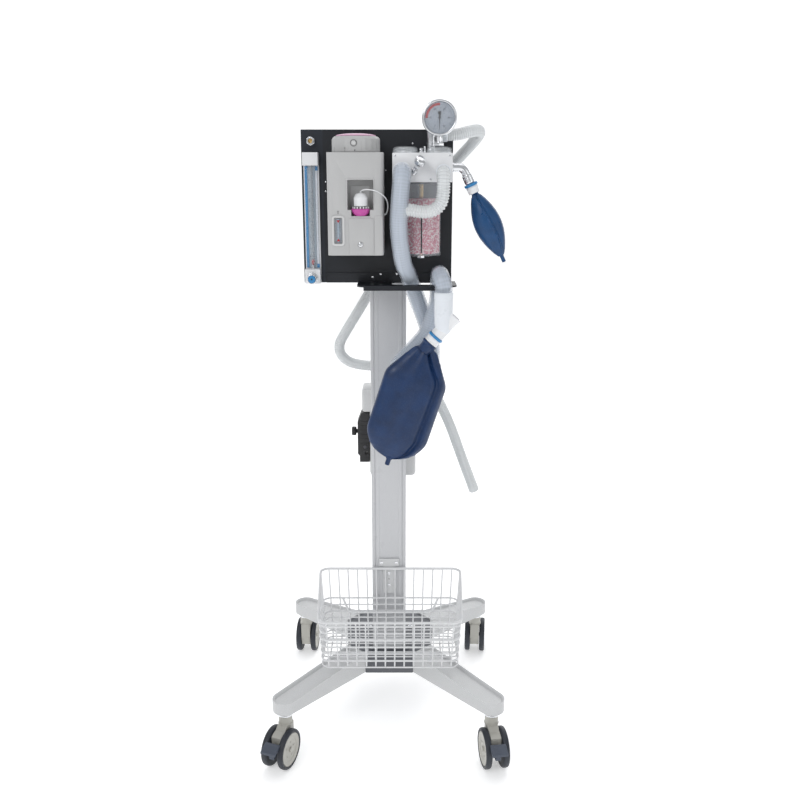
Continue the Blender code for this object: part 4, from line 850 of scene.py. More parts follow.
def make_expiratory_hose():
    """Clear accordion hose from the right port to the breathing hose: sharp thin ridges on a narrower wall."""
    d, pitch = sizes().expiratory_hose, sizes().corrugation
    route = smooth_route(EXPIRATORY_ROUTE, 8)
    path = evenly(route, int(path_length(route) / pitch * 10))
    s = np.concatenate([[0], np.cumsum(np.linalg.norm(np.diff(path, axis=0), axis=1))])
    ridge = np.abs(np.cos(math.pi * s / pitch)) ** 1.6
    plain = (s < 0.01)
    radius = np.where(plain, d / 2 - 0.0006, d / 2 - 0.002 + 0.002 * ridge)
    wall = fixed("expiratory_hose", [(tube(path, radius, 36), "accordion")], "hose")
    port = EXPIRATORY_ROUTE[0]
    head = Box("absorber_head")
    collar = turned([(0.0095, 0), (0.013, 0), (0.013, 0.0055), (0.0095, 0.0055)], 0.001, towards(-Y_AXIS,
        (port[0], head.low[1] - 0.001, port[2])), 40, closed=True)
    ring = trim("expiratory_hose_collar", [(collar, "cuff")], "white_plastic")
    return wall, path, [ring]


def make_waste_hose():
    """Finely corrugated pale hose from the relief valve round the column, with a plain cuff at each end."""
    d = sizes().waste_hose
    route = smooth_route(SCAVENGING_ROUTE, 8)
    path = evenly(route, 2400)
    radius = ridged(path, d / 2 - 0.0002, 0.0036, 0.0007, 0.012)
    wall = fixed("scavenging_hose", [(tube(path, radius, 24), "grey_hose")], "hose")
    valve = Box("apl_valve")
    start = np.array(SCAVENGING_ROUTE[0])
    cuff = turned([(0.0092, 0.0), (0.0122, 0.0), (0.0122, 0.013), (0.0112, 0.015), (0.01, 0.015)], 0.0008,
        towards(X_AXIS, (max(start[0], valve.high[0]) + 0.0003, start[1], start[2])), 36, closed=True)
    ring = trim("scavenging_hose_cuff", [(cuff, "cuff")], "white_plastic")
    return wall, path, [ring]


def make_tether():
    """Milky cord from the filler cap to the vaporizer's side, with a small anchor ball at each end."""
    path = evenly(smooth_route(TETHER_ROUTE, 8), 120)
    wall = fixed("filler_tether", [(tube(path, sizes().tether / 2, 10), "tether")], "white_plastic")
    a = np.linspace(-TURN / 4, TURN / 4, 9)
    ball = np.column_stack([0.0018 * np.cos(a), 0.0018 * np.sin(a)])
    knots = [(lathe(ball, Matrix.Translation(Vector(p)), 16), "tether") for p in (path[0] + Z_AXIS * 0.0012,
        path[-1])]
    return wall, path, [trim("tether_knots", knots, "white_plastic")]


# ---------------------------------------------------------------- bags


def large_swell(t):
    """Half width of the large bag along its length, from 0 at the neck to 1 at its low end."""
    body = (1 - np.abs(2 * np.clip(t, 0, 0.94) / 0.94 - 1) ** 3.2) ** 0.6 + 0.12
    body = np.minimum(body, 0.3 + 2.7 * t)
    return np.where(t > 0.94, 0.07, np.clip(body, 0.07, 1.0))


def make_large_bag():
    """Limp dark bag: ellipses down a leaning line, a fold that runs from the neck beside the right edge,
    and a nub.
    """
    middle = np.array([0.101, -0.1775, 0.874])
    run = np.array([-0.66, 0.0, -0.75]) / np.linalg.norm([0.66, 0.75])
    mouth = middle + run * 0.0346
    lean = np.array([-0.31, 0.0, -0.95]) / np.linalg.norm([0.31, 0.95])
    top, size = mouth + run * 0.01, 0.236
    side = np.cross(lean, Y_AXIS)
    side /= np.linalg.norm(side)
    if side[0] < 0:
        side = -side
    t = np.concatenate([np.linspace(0, 0.1, 24), np.linspace(0.1, 0.86, 90)[1:],
        np.linspace(0.86, 1.0, 46)[1:]])
    a = np.arange(120) * TURN / 120
    half = large_swell(t)
    smooth = np.convolve(np.pad(half, 4, mode="edge"), np.ones(9) / 9, "valid")
    half = np.minimum(smooth, half + 0.04)
    width = 0.0578 * half
    bulge = np.sin(math.pi * np.clip(t / 0.94, 0, 1)) ** 0.5
    thick = 0.0195 * np.maximum(half * (0.35 + 0.65 * bulge), 0.19)
    across = np.sign(np.cos(a)) * np.abs(np.cos(a)) ** 0.85
    deep = np.sign(np.sin(a)) * np.abs(np.sin(a)) ** 0.8
    u = width[:, None] * across[None]
    v = thick[:, None] * deep[None]
    share = across[None] + 0 * t[:, None]
    fade = np.clip(t / 0.06, 0, 1) * np.clip((0.97 - t) / 0.12, 0, 1)
    line = 0.1 + 0.6 * np.clip(t / 0.22, 0, 1) ** 0.7 - 0.06 * t
    groove = np.exp(-((share - line[:, None]) / 0.085) ** 2)
    lobe = np.exp(-((share - line[:, None] - 0.17) / 0.1) ** 2)
    front = (deep[None] > 0) * np.abs(deep[None]) ** 0.4
    v = v - front * fade[:, None] * (0.0055 * groove - 0.0032 * lobe)
    pleats = 0.0011 * np.cos(share * 11 + 5 * t[:, None]) * np.exp(-t[:, None] / 0.1)
    wander = 0.0012 * np.sin(9 * t[:, None] + 2.5 * share) * np.sin(5 * share + 1.3)
    v = v + np.sign(deep)[None] * (pleats
        + wander) * np.clip(t / 0.03, 0, 1)[:, None] * np.abs(deep[None]) ** 0.5 * np.clip((0.93 - t) / 0.1,
        0, 1)[:, None]
    centre = top + lean * (size * t)[:, None]
    points = centre[:, None] + side * u[..., None] - Y_AXIS * v[..., None]
    trail = np.stack([size * t[:, None] + 0 * u, u, v], axis=-1)
    body = outward(grid(points, trail, caps=True))
    edge_t = t[8:-30]
    bead_path = []
    for sign in (1, -1):
        w = np.interp(edge_t, t, width)
        line_points = top + lean * (size * edge_t)[:, None] + side * (sign * (w - 0.0004))[:, None]
        bead_path.append(line_points if sign > 0 else line_points[::-1])
    beads = [(tube(p, 0.0009, 8), "large_bag") for p in bead_path]
    neck = turned([(0.0, 0.0002), (0.0146, 0.0002), (0.0148, 0.0036), (0.0135, 0.0046), (0.0128, 0.008),
        (0.012, 0.02), (0.0, 0.0205)], 0.0012, towards(run, mouth), 40)
    nub = tube([top + lean * size * 0.93, top + lean * (size * 0.965), top + lean * (size - 0.0015)],
        0.0047, 20)
    piece = fixed("large_bag", [(body, "large_bag"), (neck, "large_bag"), (nub, "large_bag")] + beads,
        "blue_rubber")
    return piece


def make_small_bag():
    """Almond shaped bag on the swivel arm: blue ring, white neck, full body with a seam ridge, and a nub."""
    tilt = math.radians(25)
    down = np.array([math.sin(tilt), 0, -math.cos(tilt)])
    elbow = np.array([Box("absorber_head").high[0] + 0.0003 + 0.021, -0.1258, 1.15375])
    neck_at = elbow + down * 0.0303
    side = np.array([math.cos(tilt), 0, math.sin(tilt)])
    ring = turned([(0.008, 0.0), (0.0124, 0.0), (0.0124, 0.0048), (0.008, 0.005)], 0.0012,
        towards(down, neck_at), 40, closed=True)
    neck = turned([(0.0, 0.0049), (0.0104, 0.0049), (0.011, 0.009), (0.0104, 0.01), (0.0102, 0.018),
        (0.0, 0.018)], 0.0008, towards(down, neck_at), 40)
    size, start = 0.136, neck_at + down * 0.0165
    t = np.concatenate([np.linspace(0, 0.12, 22), np.linspace(0.12, 0.84, 70)[1:],
        np.linspace(0.84, 1, 44)[1:]])
    half = np.maximum(0.13, 0.13 + 0.85 * np.sin(math.pi * np.clip(t / 0.92, 0, 1)) ** 0.85)
    half = np.convolve(np.pad(half, 3, mode="edge"), np.ones(7) / 7, "valid")
    neck_open = 0.4 * np.exp(-(t / 0.03) ** 2)
    half = np.where(t > 0.9, 0.13, np.maximum(half, neck_open))
    a = np.arange(96) * TURN / 96
    across, deep = np.cos(a), np.sign(np.sin(a)) * np.abs(np.sin(a)) ** 0.9
    u = 0.0249 * half[:, None] * across[None]
    v = 0.0178 * half[:, None] * deep[None]
    line = -0.05 + 0.55 * t
    ridge = np.exp(-((across[None] - line[:, None]) / 0.05) ** 2) * (deep[None] > 0)
    valley = np.exp(-((across[None] - line[:, None] - 0.16) / 0.09) ** 2) * (deep[None] > 0)
    fade = np.clip(t / 0.05, 0, 1) * np.clip((0.9 - t) / 0.08, 0, 1)
    v = v + fade[:, None] * (0.0022 * ridge - 0.0016 * valley) + fade[:, None] * 0.0006 * np.sin(8
        * t[:, None] + 4 * across[None])
    centre = start + down * (size * t)[:, None]
    points = centre[:, None] + side * u[..., None] - Y_AXIS * v[..., None]
    trail = np.stack([size * t[:, None] + 0 * u, u, v], axis=-1)
    body = outward(grid(points, trail, caps=True))
    w = 0.0249 * half[10:-20]
    edge = start + down * (size * t[10:-20])[:, None]
    beads = [(tube(edge + side * (s * (w - 0.0003))[:, None], 0.0008, 8), "small_bag") for s in (1, -1)]
    nub = tube([start + down * size * 0.9, start + down * size * 0.95, start + down * (size - 0.001)],
        0.0036, 18)
    return make_piece("small_bag", [(ring, "sky"), (neck, "white"), (body, "small_bag"), (nub, "small_bag")]
        + beads, "bag_arm", ("small_bag",), "blue_rubber")


def make_bag_arm():
    """Chrome swivel arm: a flange and a thick pipe that bends 65 degrees down to a stepped socket."""
    cad = Box("bag_arm")
    tilt = math.radians(25)
    down = np.array([math.sin(tilt), 0, -math.cos(tilt)])
    start = np.array([cad.low[0], -0.1258, 1.15375])
    elbow = start + X_AXIS * 0.021
    bend = 0.009
    a, b = elbow - X_AXIS * bend, elbow + down * bend
    t = np.linspace(0, 1, 12)[:, None]
    curve = (1 - t) ** 2 * a + 2 * t * (1 - t) * elbow + t**2 * b
    path = np.concatenate([[start + X_AXIS * 0.002], curve, [elbow + down * 0.016]])
    body = tube(path, 0.0078, 36, dome=False)
    flange = turned([(0, 0), (0.0096, 0), (0.0098, 0.0022), (0.0084, 0.0036), (0, 0.0036)], 0.0006,
        towards(X_AXIS, start), 40)
    socket = turned([(0, 0.013), (0.0088, 0.0135), (0.0093, 0.0155), (0.0093, 0.027), (0.0088, 0.0298),
        (0, 0.0298)], 0.0008, towards(down, elbow), 40)
    groove = turned([(0.008, 0.0185), (0.0097, 0.0185), (0.0097, 0.0205), (0.008, 0.0205)], 0.0006,
        towards(down, elbow), 40, closed=True)
    return moving("bag_arm", [(body, "chrome"), (flange, "chrome"), (socket, "turned"), (groove, "chrome")],
        "chrome")


# ---------------------------------------------------------------- base and casters


def make_leg(corner, signs):
    """Leg with a round end: its outline stepped in over a soft chamfer, and closed along its middle line.

    Half width falls evenly from the root to the end; the top falls with it,
    z = end height + (end - x) rise.
    """
    run = STEM_REACH * Vector(signs) - Vector(HUB_MIDDLE)
    root, end, low = LEG_ROOT, run.length, Box(f"leg_{corner}").low[2]
    wide, narrow, height = LEG_WIDE, LEG_NARROW, LEG_LOW
    rise = (LEG_HIGH - height) / (end - root)
    side_x = np.linspace(root, end - 0.004, 12)
    share = (side_x - root) / (end - root)
    side_y = wide + (narrow - wide) * share
    a = np.radians(np.linspace(80, -80, 33))
    outline = np.concatenate([np.column_stack([side_x, side_y]), np.column_stack([end + narrow * np.cos(a),
        narrow * np.sin(a)]), np.column_stack([side_x, -side_y])[::-1]])
    t = np.linspace(0, 1, 6)
    chamfer = 0.0058
    steps = [(chamfer * (1 - x) * 0.6, chamfer * x * 0.5, 0) for x in t]
    steps += [(chamfer * x, -chamfer * (1 - math.sqrt(max(0.0, 1 - (1 - (1 - x)) ** 2 * 0.75))) * 2,
        1) for x in t]
    rings = []
    for shrink in (0.0, 0.5):
        flat = inset(outline, chamfer * 0.6)
        rings.append(np.column_stack([flat[:, 0], flat[:, 1] * shrink, np.zeros(len(flat))]))
    for gap, lift, upper in steps:
        flat = inset(outline, gap)
        top = height + np.clip(end - flat[:, 0], 0, None) * rise
        rings.append(np.column_stack([flat, top + lift if upper else np.full(len(flat), lift)]))
    for shrink in (0.5, 0.0):
        last = rings[-1 if shrink == 0.5 else -2]
        rings.append(np.column_stack([last[:, 0], last[:, 1] * shrink, last[:, 2]]))
    shape = outward(grid(np.array(rings)))
    turn = Matrix.Translation((*HUB_MIDDLE, low)) @ Matrix.Rotation(math.atan2(run.y, run.x), 4, "Z")
    fixed(f"leg_{corner}", [(placed(shape, turn), "leg")], "pale_grey", crease=50)


def make_caster(corner, yaw):
    """Twin wheel caster: softened hood, neck rings, tyres with tread edges, dished covers and axle caps."""
    wheel_box = Box(f"caster_wheels_{corner}")
    fork_box = Box(f"caster_fork_{corner}")
    front = corner.startswith("front")
    stem = STEM_REACH * np.array(CORNERS[corner])
    turn = math.radians(yaw)
    axle_dir = np.array([math.cos(turn), math.sin(turn), 0])
    axle = wheel_box.mid
    r, inner, outer = WHEEL_RADIUS, WHEEL_INNER, WHEEL_OUTER
    refined(f"caster_fork_{corner}", "beige", f"caster_{corner}", 0.0022, 3,
        name=f"caster_hood_{corner}")
    rings = []
    top = fork_box.high[2]
    for z, wide, tall in ((top - 0.0062, 0.0152, 0.004), (0.0835, 0.0146, 0.003)):
        ring = turned([(0.01, -tall / 2), (wide, -tall / 2), (wide, tall / 2), (0.01, tall / 2)], 0.0008,
            Matrix.Translation((stem[0], stem[1], z)), 40, closed=True)
        rings.append((ring, "beige" if z < 0.09 else "chrome"))
    make_piece(f"caster_neck_rings_{corner}", rings, f"caster_{corner}", slot="beige_plastic")
    parts = []
    for sign in (1, -1):
        place = towards(axle_dir * sign, axle)
        tyre = softened([(r - 0.0075, inner), (r - 0.0035, inner), (r - 0.001, inner + 0.0012),
            (r, inner + 0.004), (r, outer - 0.004), (r - 0.001, outer - 0.0012),
            (r - 0.0035, outer - 0.0002), (r - 0.0062, outer - 0.0006), (r - 0.0072, outer - 0.003)],
            0.0012)
        parts.append((lathe(tyre, place, 72, closed=True), "tyre"))
        web = softened([(0.0041, inner + 0.0005), (r - 0.007, inner + 0.0005), (r - 0.007, outer - 0.004),
            (0.0041, outer - 0.004)], 0.0006)
        parts.append((lathe(web, place, 56, closed=True), "tyre"))
        cover = softened([(0, outer - 0.0028), (0.0062, outer - 0.0028), (0.007, outer - 0.0036),
            (0.022, outer - 0.003), (0.0235, outer - 0.0018), (0.03, outer - 0.0016),
            (0.0318, outer - 0.0008), (0.0328, outer - 0.0012), (0.0331, outer - 0.0038),
            (0, outer - 0.0042)], 0.0009)
        parts.append((lathe(cover, place, 72), "beige"))
        for k in range(5):
            spoke = k * TURN / 5
            at = Vector((0.015 * math.cos(spoke), 0.015 * math.sin(spoke), outer - 0.0031))
            dimple = turned([(0, 0), (0.0022, 0), (0.002, 0.0006), (0, 0.0006)], 0.0003,
                place @ Matrix.Translation(at), 16)
            parts.append((dimple, "beige"))
        cap = softened([(0, outer - 0.0032), (0.0052, outer - 0.0032), (0.005, outer - 0.0004), (0, outer)],
            0.0007)
        parts.append((lathe(cap, place, 24), "beige"))
    shaft = lathe([(0, -0.0205), (0.004, -0.0205), (0.004, 0.0205), (0, 0.0205)], towards(axle_dir, axle),
        20)
    parts.append((shaft, "dark_metal"))
    make_piece(f"caster_wheels_{corner}", parts, f"wheels_{corner}", (f"caster_wheels_{corner}",), "tyre")
    if front:
        refined(f"brake_pedal_{corner}", "pedal", f"pedal_{corner}", 0.0009, 2)


def make_base_pieces():
    """Softened hub, the four legs, the bolts on the hub and the seat ring of the column."""
    refined("base_hub", "hub", "frame", 0)
    for corner, signs in CORNERS.items():
        make_leg(corner, signs)
    hub = Box("base_hub")
    bolts = [(screw_head((x, y, hub.high[2] - 0.0002), Z_AXIS, 0.0055, 0.0024), "chrome") for x,
        y in ((-0.062, -0.012), (0.062, -0.012), (-0.046, 0.048), (0.046, 0.048))]
    ring = grid(np.stack([np.column_stack([rectangle((-x, -0.0125 - x), (x, -0.0125 + x), 0.004),
        np.full(28, z)]) for x, z in ((0.0355, hub.high[2]), (0.0355, hub.high[2] + 0.0034),
        (0.0425, hub.high[2] + 0.0028), (0.043, hub.high[2]))]), closed=True)
    trim("base_bolts", bolts + [(outward(ring), "hub")], "dark_grey")


# ---------------------------------------------------------------- column, basket and rear pieces


def make_column_pieces():
    """Coated extrusion: grooves down each face, a raised middle land, round corners,
    and a cap with two screws.
    """
    box = Box("column")
    half, mid = box.size[0] / 2, box.mid
    edge = [(-half + 0.0026, half), (-half + 0.006, half), (-half + 0.0066, half - 0.0013),
        (-half + 0.0078, half - 0.0013), (-half + 0.0084, half), (-half + 0.015, half),
        (-half + 0.0156, half - 0.0005), (half - 0.0156, half - 0.0005), (half - 0.015, half),
        (half - 0.0084, half), (half - 0.0078, half - 0.0013), (half - 0.0066, half - 0.0013),
        (half - 0.006, half), (half - 0.0026, half)]
    a = np.linspace(0, TURN / 4, 6)[1:-1]
    corner = np.column_stack([half - 0.0026 + 0.0026 * np.sin(a), half - 0.0026 + 0.0026 * np.cos(a)])
    face = np.concatenate([np.array(edge), corner])
    quarters = []
    for k in range(4):
        c, s = math.cos(-k * TURN / 4), math.sin(-k * TURN / 4)
        quarters.append(face @ np.array([[c, s], [-s, c]]))
    outline = np.concatenate(quarters) + mid[:2]
    body = slab(outline, box.low[2], box.high[2] - 0.003, 0.0003, 1)
    cap = slab(rectangle(mid[:2] - half + 0.0005, mid[:2] + half - 0.0005, 0.004), box.high[2] - 0.003,
        box.high[2], 0.001)
    screws = [(screw_head((x, mid[1], box.high[2] - 0.0002), Z_AXIS, 0.004, 0.0018),
        "chrome") for x in (-0.018, 0.018)]
    fixed("column", [(body, "column"), (cap, "hub")] + screws, "white_column", crease=25)


def bent(points, radius, steps=5):
    """Wire line with its corners rounded."""
    return softened(np.asarray(points, float), radius, steps)


def make_basket_pieces():
    """Wire basket: sloping rim, upright U wires both ways, level wires below the front rim and behind,
    all tubes.
    """
    box, bracket = Box("basket"), Box("basket_bracket")
    rim, thin, pitch = sizes().rim_wire, sizes().mesh_wire, sizes().wire_pitch
    x_mid, half_top, half_low = box.mid[0], box.size[0] / 2 - rim / 2, 0.1405 - rim / 2
    y0, y1 = box.low[1] + rim / 2, box.high[1] - rim / 2
    low, back, front = box.low[2] + thin, box.high[2] - rim / 2, 0.291 - rim / 2
    coat = "wire"

    def half_at(z):
        """Half width at a height: it grows in a straight line from the floor to the rim."""
        return half_low + (half_top - half_low) * (z - low) / (back - low)

    def slope(y):
        """Height of the rim over its depth: low in front, then a straight rise to the back."""
        share = np.clip((np.asarray(y) - y0 - 0.012) / (y1 - y0 - 0.024), 0, 1)
        return front + (back - front) * share

    def loop(z, gap, corner=0.018):
        """Level rounded rectangle at a height, set in by a gap."""
        w = half_at(z) - gap
        flat = rectangle((x_mid - w, y0 + gap), (x_mid + w, y1 - gap), corner)
        flat = np.concatenate([np.linspace(p, q, 5)[:-1] for p, q in zip(flat, np.roll(flat, -1, axis=0))])
        return np.column_stack([flat, np.full(len(flat), z)])

    parts = []
    top_loop = loop(back, 0.0)
    top_loop[:, 2] = slope(top_loop[:, 1])
    narrow = half_at(top_loop[:, 2]) / half_at(back)
    top_loop[:, 0] = x_mid + (top_loop[:, 0] - x_mid) * narrow
    parts.append((tube(top_loop, rim / 2, 12, closed=True), coat))
    second = loop(front - 0.0085, 0.0008)
    parts.append((tube(second, 0.0019, 8, closed=True), coat))
    for k in range(1, 7):
        z = front - 0.0085 - k * (front - 0.0085 - low) / 6
        parts.append((tube(loop(z, 0.0012), (0.0024 if k == 2 else thin / 2), 8, closed=True), coat))
    count = int(2 * (half_low - 0.008) / pitch)
    for x in (np.arange(count + 1) - count / 2) * pitch:
        flare = x * half_at(back) / half_at(low)
        near = x * half_at(front) / half_at(low)
        wire = bent([(x_mid + near, y0 + 0.001, front), (x_mid + x, y0 + 0.003, low),
            (x_mid + x, y1 - 0.003, low), (x_mid + flare, y1 - 0.001, back)], 0.005)
        parts.append((tube(wire, thin / 2, 8), coat))
    for y in np.linspace(y0 + 0.02, y1 - 0.018, 6):
        z = float(slope(y))
        wire = bent([(x_mid - half_at(z) + 0.001, y, z), (x_mid - half_low + 0.003, y, low + thin),
            (x_mid + half_low - 0.003, y, low + thin), (x_mid + half_at(z) - 0.001, y, z)], 0.005)
        parts.append((tube(wire, thin / 2, 8), coat))
    stay = bent([(x_mid - 0.1, y1 - 0.004, front - 0.008), (x_mid - 0.088, y1 - 0.006, 0.252),
        (x_mid - 0.08, y1 - 0.006, 0.249), (x_mid + 0.08, y1 - 0.006, 0.249),
        (x_mid + 0.088, y1 - 0.006, 0.252), (x_mid + 0.1, y1 - 0.004, front - 0.008)], 0.006)
    parts.append((tube(stay, 0.0023, 8), coat))
    fixed("basket", parts, "white_wire")

    refined("basket_bracket", "leg", "frame", 0.0005)
    face = bracket.low[1]
    screws = [(screw_head((x, face + 0.0001, bracket.high[2] - 0.0085), -Y_AXIS, 0.0036),
        "chrome") for x in (-0.0155, 0.0155)]
    screws += [(screw_head((0.0, face + 0.0001, z), -Y_AXIS, 0.0034), "chrome") for z in (0.3345, 0.3085)]
    dot = lathe([(0, 0), (0.0012, 0), (0.001, 0.0004), (0, 0.0004)], towards(-Y_AXIS,
        (0, face + 0.0001, 0.3215)), 12)
    trim("bracket_screws", screws + [(dot, "dark_metal")], "chrome")


def make_rear_pieces():
    """Housing behind the column with its seam and vents, the vents in painted shade, black clamp, knob with
    grips, and the hose clip.
    """
    refined("rear_housing", "leg", "frame", 0.0012, 2)
    box = Box("rear_housing")
    # The vent slots are dark grey bars laid on the housing: painted shade where the openings are.
    slots = []
    for k in range(5):
        z = box.low[2] + 0.03 + 0.008 * k
        slots.append((rounded_box((-0.016, box.high[1] - 0.0008, z), (0.032, box.high[1] + 0.0004,
            z + 0.0026), 0.0008), "hub"))
    for x in (-0.026, 0.042):
        slots.append((screw_head((x, box.high[1] - 0.0003, box.low[2] + 0.017), Y_AXIS, 0.0034), "chrome"))
    plate = slab(rectangle((-0.03, box.high[2] - 0.031), (0.03, box.high[2] - 0.018), 0.003),
        box.high[1] - 0.0005, box.high[1] + 0.0009, 0.0004, axis="Y")
    slots.append((plate, "vaporizer"))
    trim("housing_vents", slots, "dark_grey")
    refined("rear_clamp", "black", "frame", 0.0012, 2)
    clamp = Box("rear_clamp")
    ribs = [(rounded_box((clamp.low[0] + 0.0045, clamp.low[1] - 0.0006, z), (clamp.high[0] - 0.002,
        clamp.low[1] + 0.0006, z + 0.0022), 0.0006), "black") for z in np.linspace(clamp.low[2] + 0.04,
        clamp.high[2] - 0.02, 6)]
    ribs.append((screw_head((clamp.mid[0] + 0.003, clamp.low[1] + 0.0002, clamp.low[2] + 0.034), -Y_AXIS,
        0.0038), "dark_metal"))
    trim("clamp_ribs", ribs, "black_plastic")
    knob = Box("rear_clamp_knob")
    at = (knob.high[0], knob.mid[1], knob.mid[2])
    grip = turned([(0, 0), (0.0045, 0), (0.0045, 0.003), (0.0084, 0.0035), (0.0095, 0.005), (0.0095, 0.011),
        (0.0084, 0.0125), (0, 0.0125)], 0.0006, towards(-X_AXIS, at), 60, wavy(10, 0.1, 0.0118, 0.004, 0.8))
    moving("rear_clamp_knob", [(grip, "black")], "black_plastic")
    refined("hose_clip", "black", "frame", 0.0005)


# ---------------------------------------------------------------- panel


def make_panel_pieces():
    """Folded panel with round edges and its screws, the mount behind it, the hose shelf, and the gas inlet."""
    refined("panel", "panel", "frame", 0.0006, 2)
    refined("panel_mount", "leg", "frame", 0.001, 2)
    refined("hose_shelf", "black_metal", "frame", 0.0005, 2)
    face, mount_box, shelf = Box("panel").low[1], Box("panel_mount"), Box("hose_shelf")
    parts = []
    for x, z in ((-0.028, 0.956), (-0.013, 0.9615), (0.017, 0.9625)):
        parts.append((screw_head((x, shelf.high[1] - 0.0021, z), -Y_AXIS, 0.0022, 0.001), "chrome"))
    for x, z in ((-0.1125, 1.129), (-0.1125, 1.112), (-0.003, 1.149), (0.046, 1.196)):
        parts.append((screw_head((x, face + 0.0001, z), -Y_AXIS, 0.0014, 0.0006), "chrome"))
    for x in (-0.048, 0.048):
        for z in (mount_box.low[2] + 0.012, mount_box.high[2] - 0.012):
            parts.append((screw_head((x, mount_box.low[1] + 0.0039, z), Y_AXIS, 0.0042, 0.002), "chrome"))
    trim("panel_screws", parts, "chrome")
    nut = Box("gas_inlet_nut")
    at = (nut.mid[0], nut.high[1], nut.mid[2])

    def six(p, a):
        made = np.ones((len(p), len(a)))
        outer = (p[:, 0] > 0.0066) & (p[:, 1] < 0.0066)
        made[outer] = hexagon(p[outer], a)
        return made

    body = lathe([(0.004, 0.0001), (0.007, 0.0001), (0.0074, 0.0007), (0.0074, 0.0052), (0.0069, 0.006),
        (0.0062, 0.0062), (0.0062, 0.0112), (0.0057, 0.0119), (0.004, 0.0119), (0.0036, 0.011),
        (0.0036, 0.004)], towards(-Y_AXIS, at), 48, six, closed=True)
    plug = turned([(0, 0.004), (0.0037, 0.004), (0.0037, 0.006), (0.002, 0.0075), (0, 0.0075)], 0.0005,
        towards(-Y_AXIS, at), 24)
    thread = [(turned([(0.0058, z), (0.0065, z + 0.0004), (0.0058, z + 0.0008)], 0.0002,
        towards(-Y_AXIS, at), 32, closed=True), "turned") for z in np.arange(0.007, 0.0108, 0.0012)]
    fixed("gas_inlet_nut", [(body, "turned"), (plug, "brass")] + thread, "chrome")


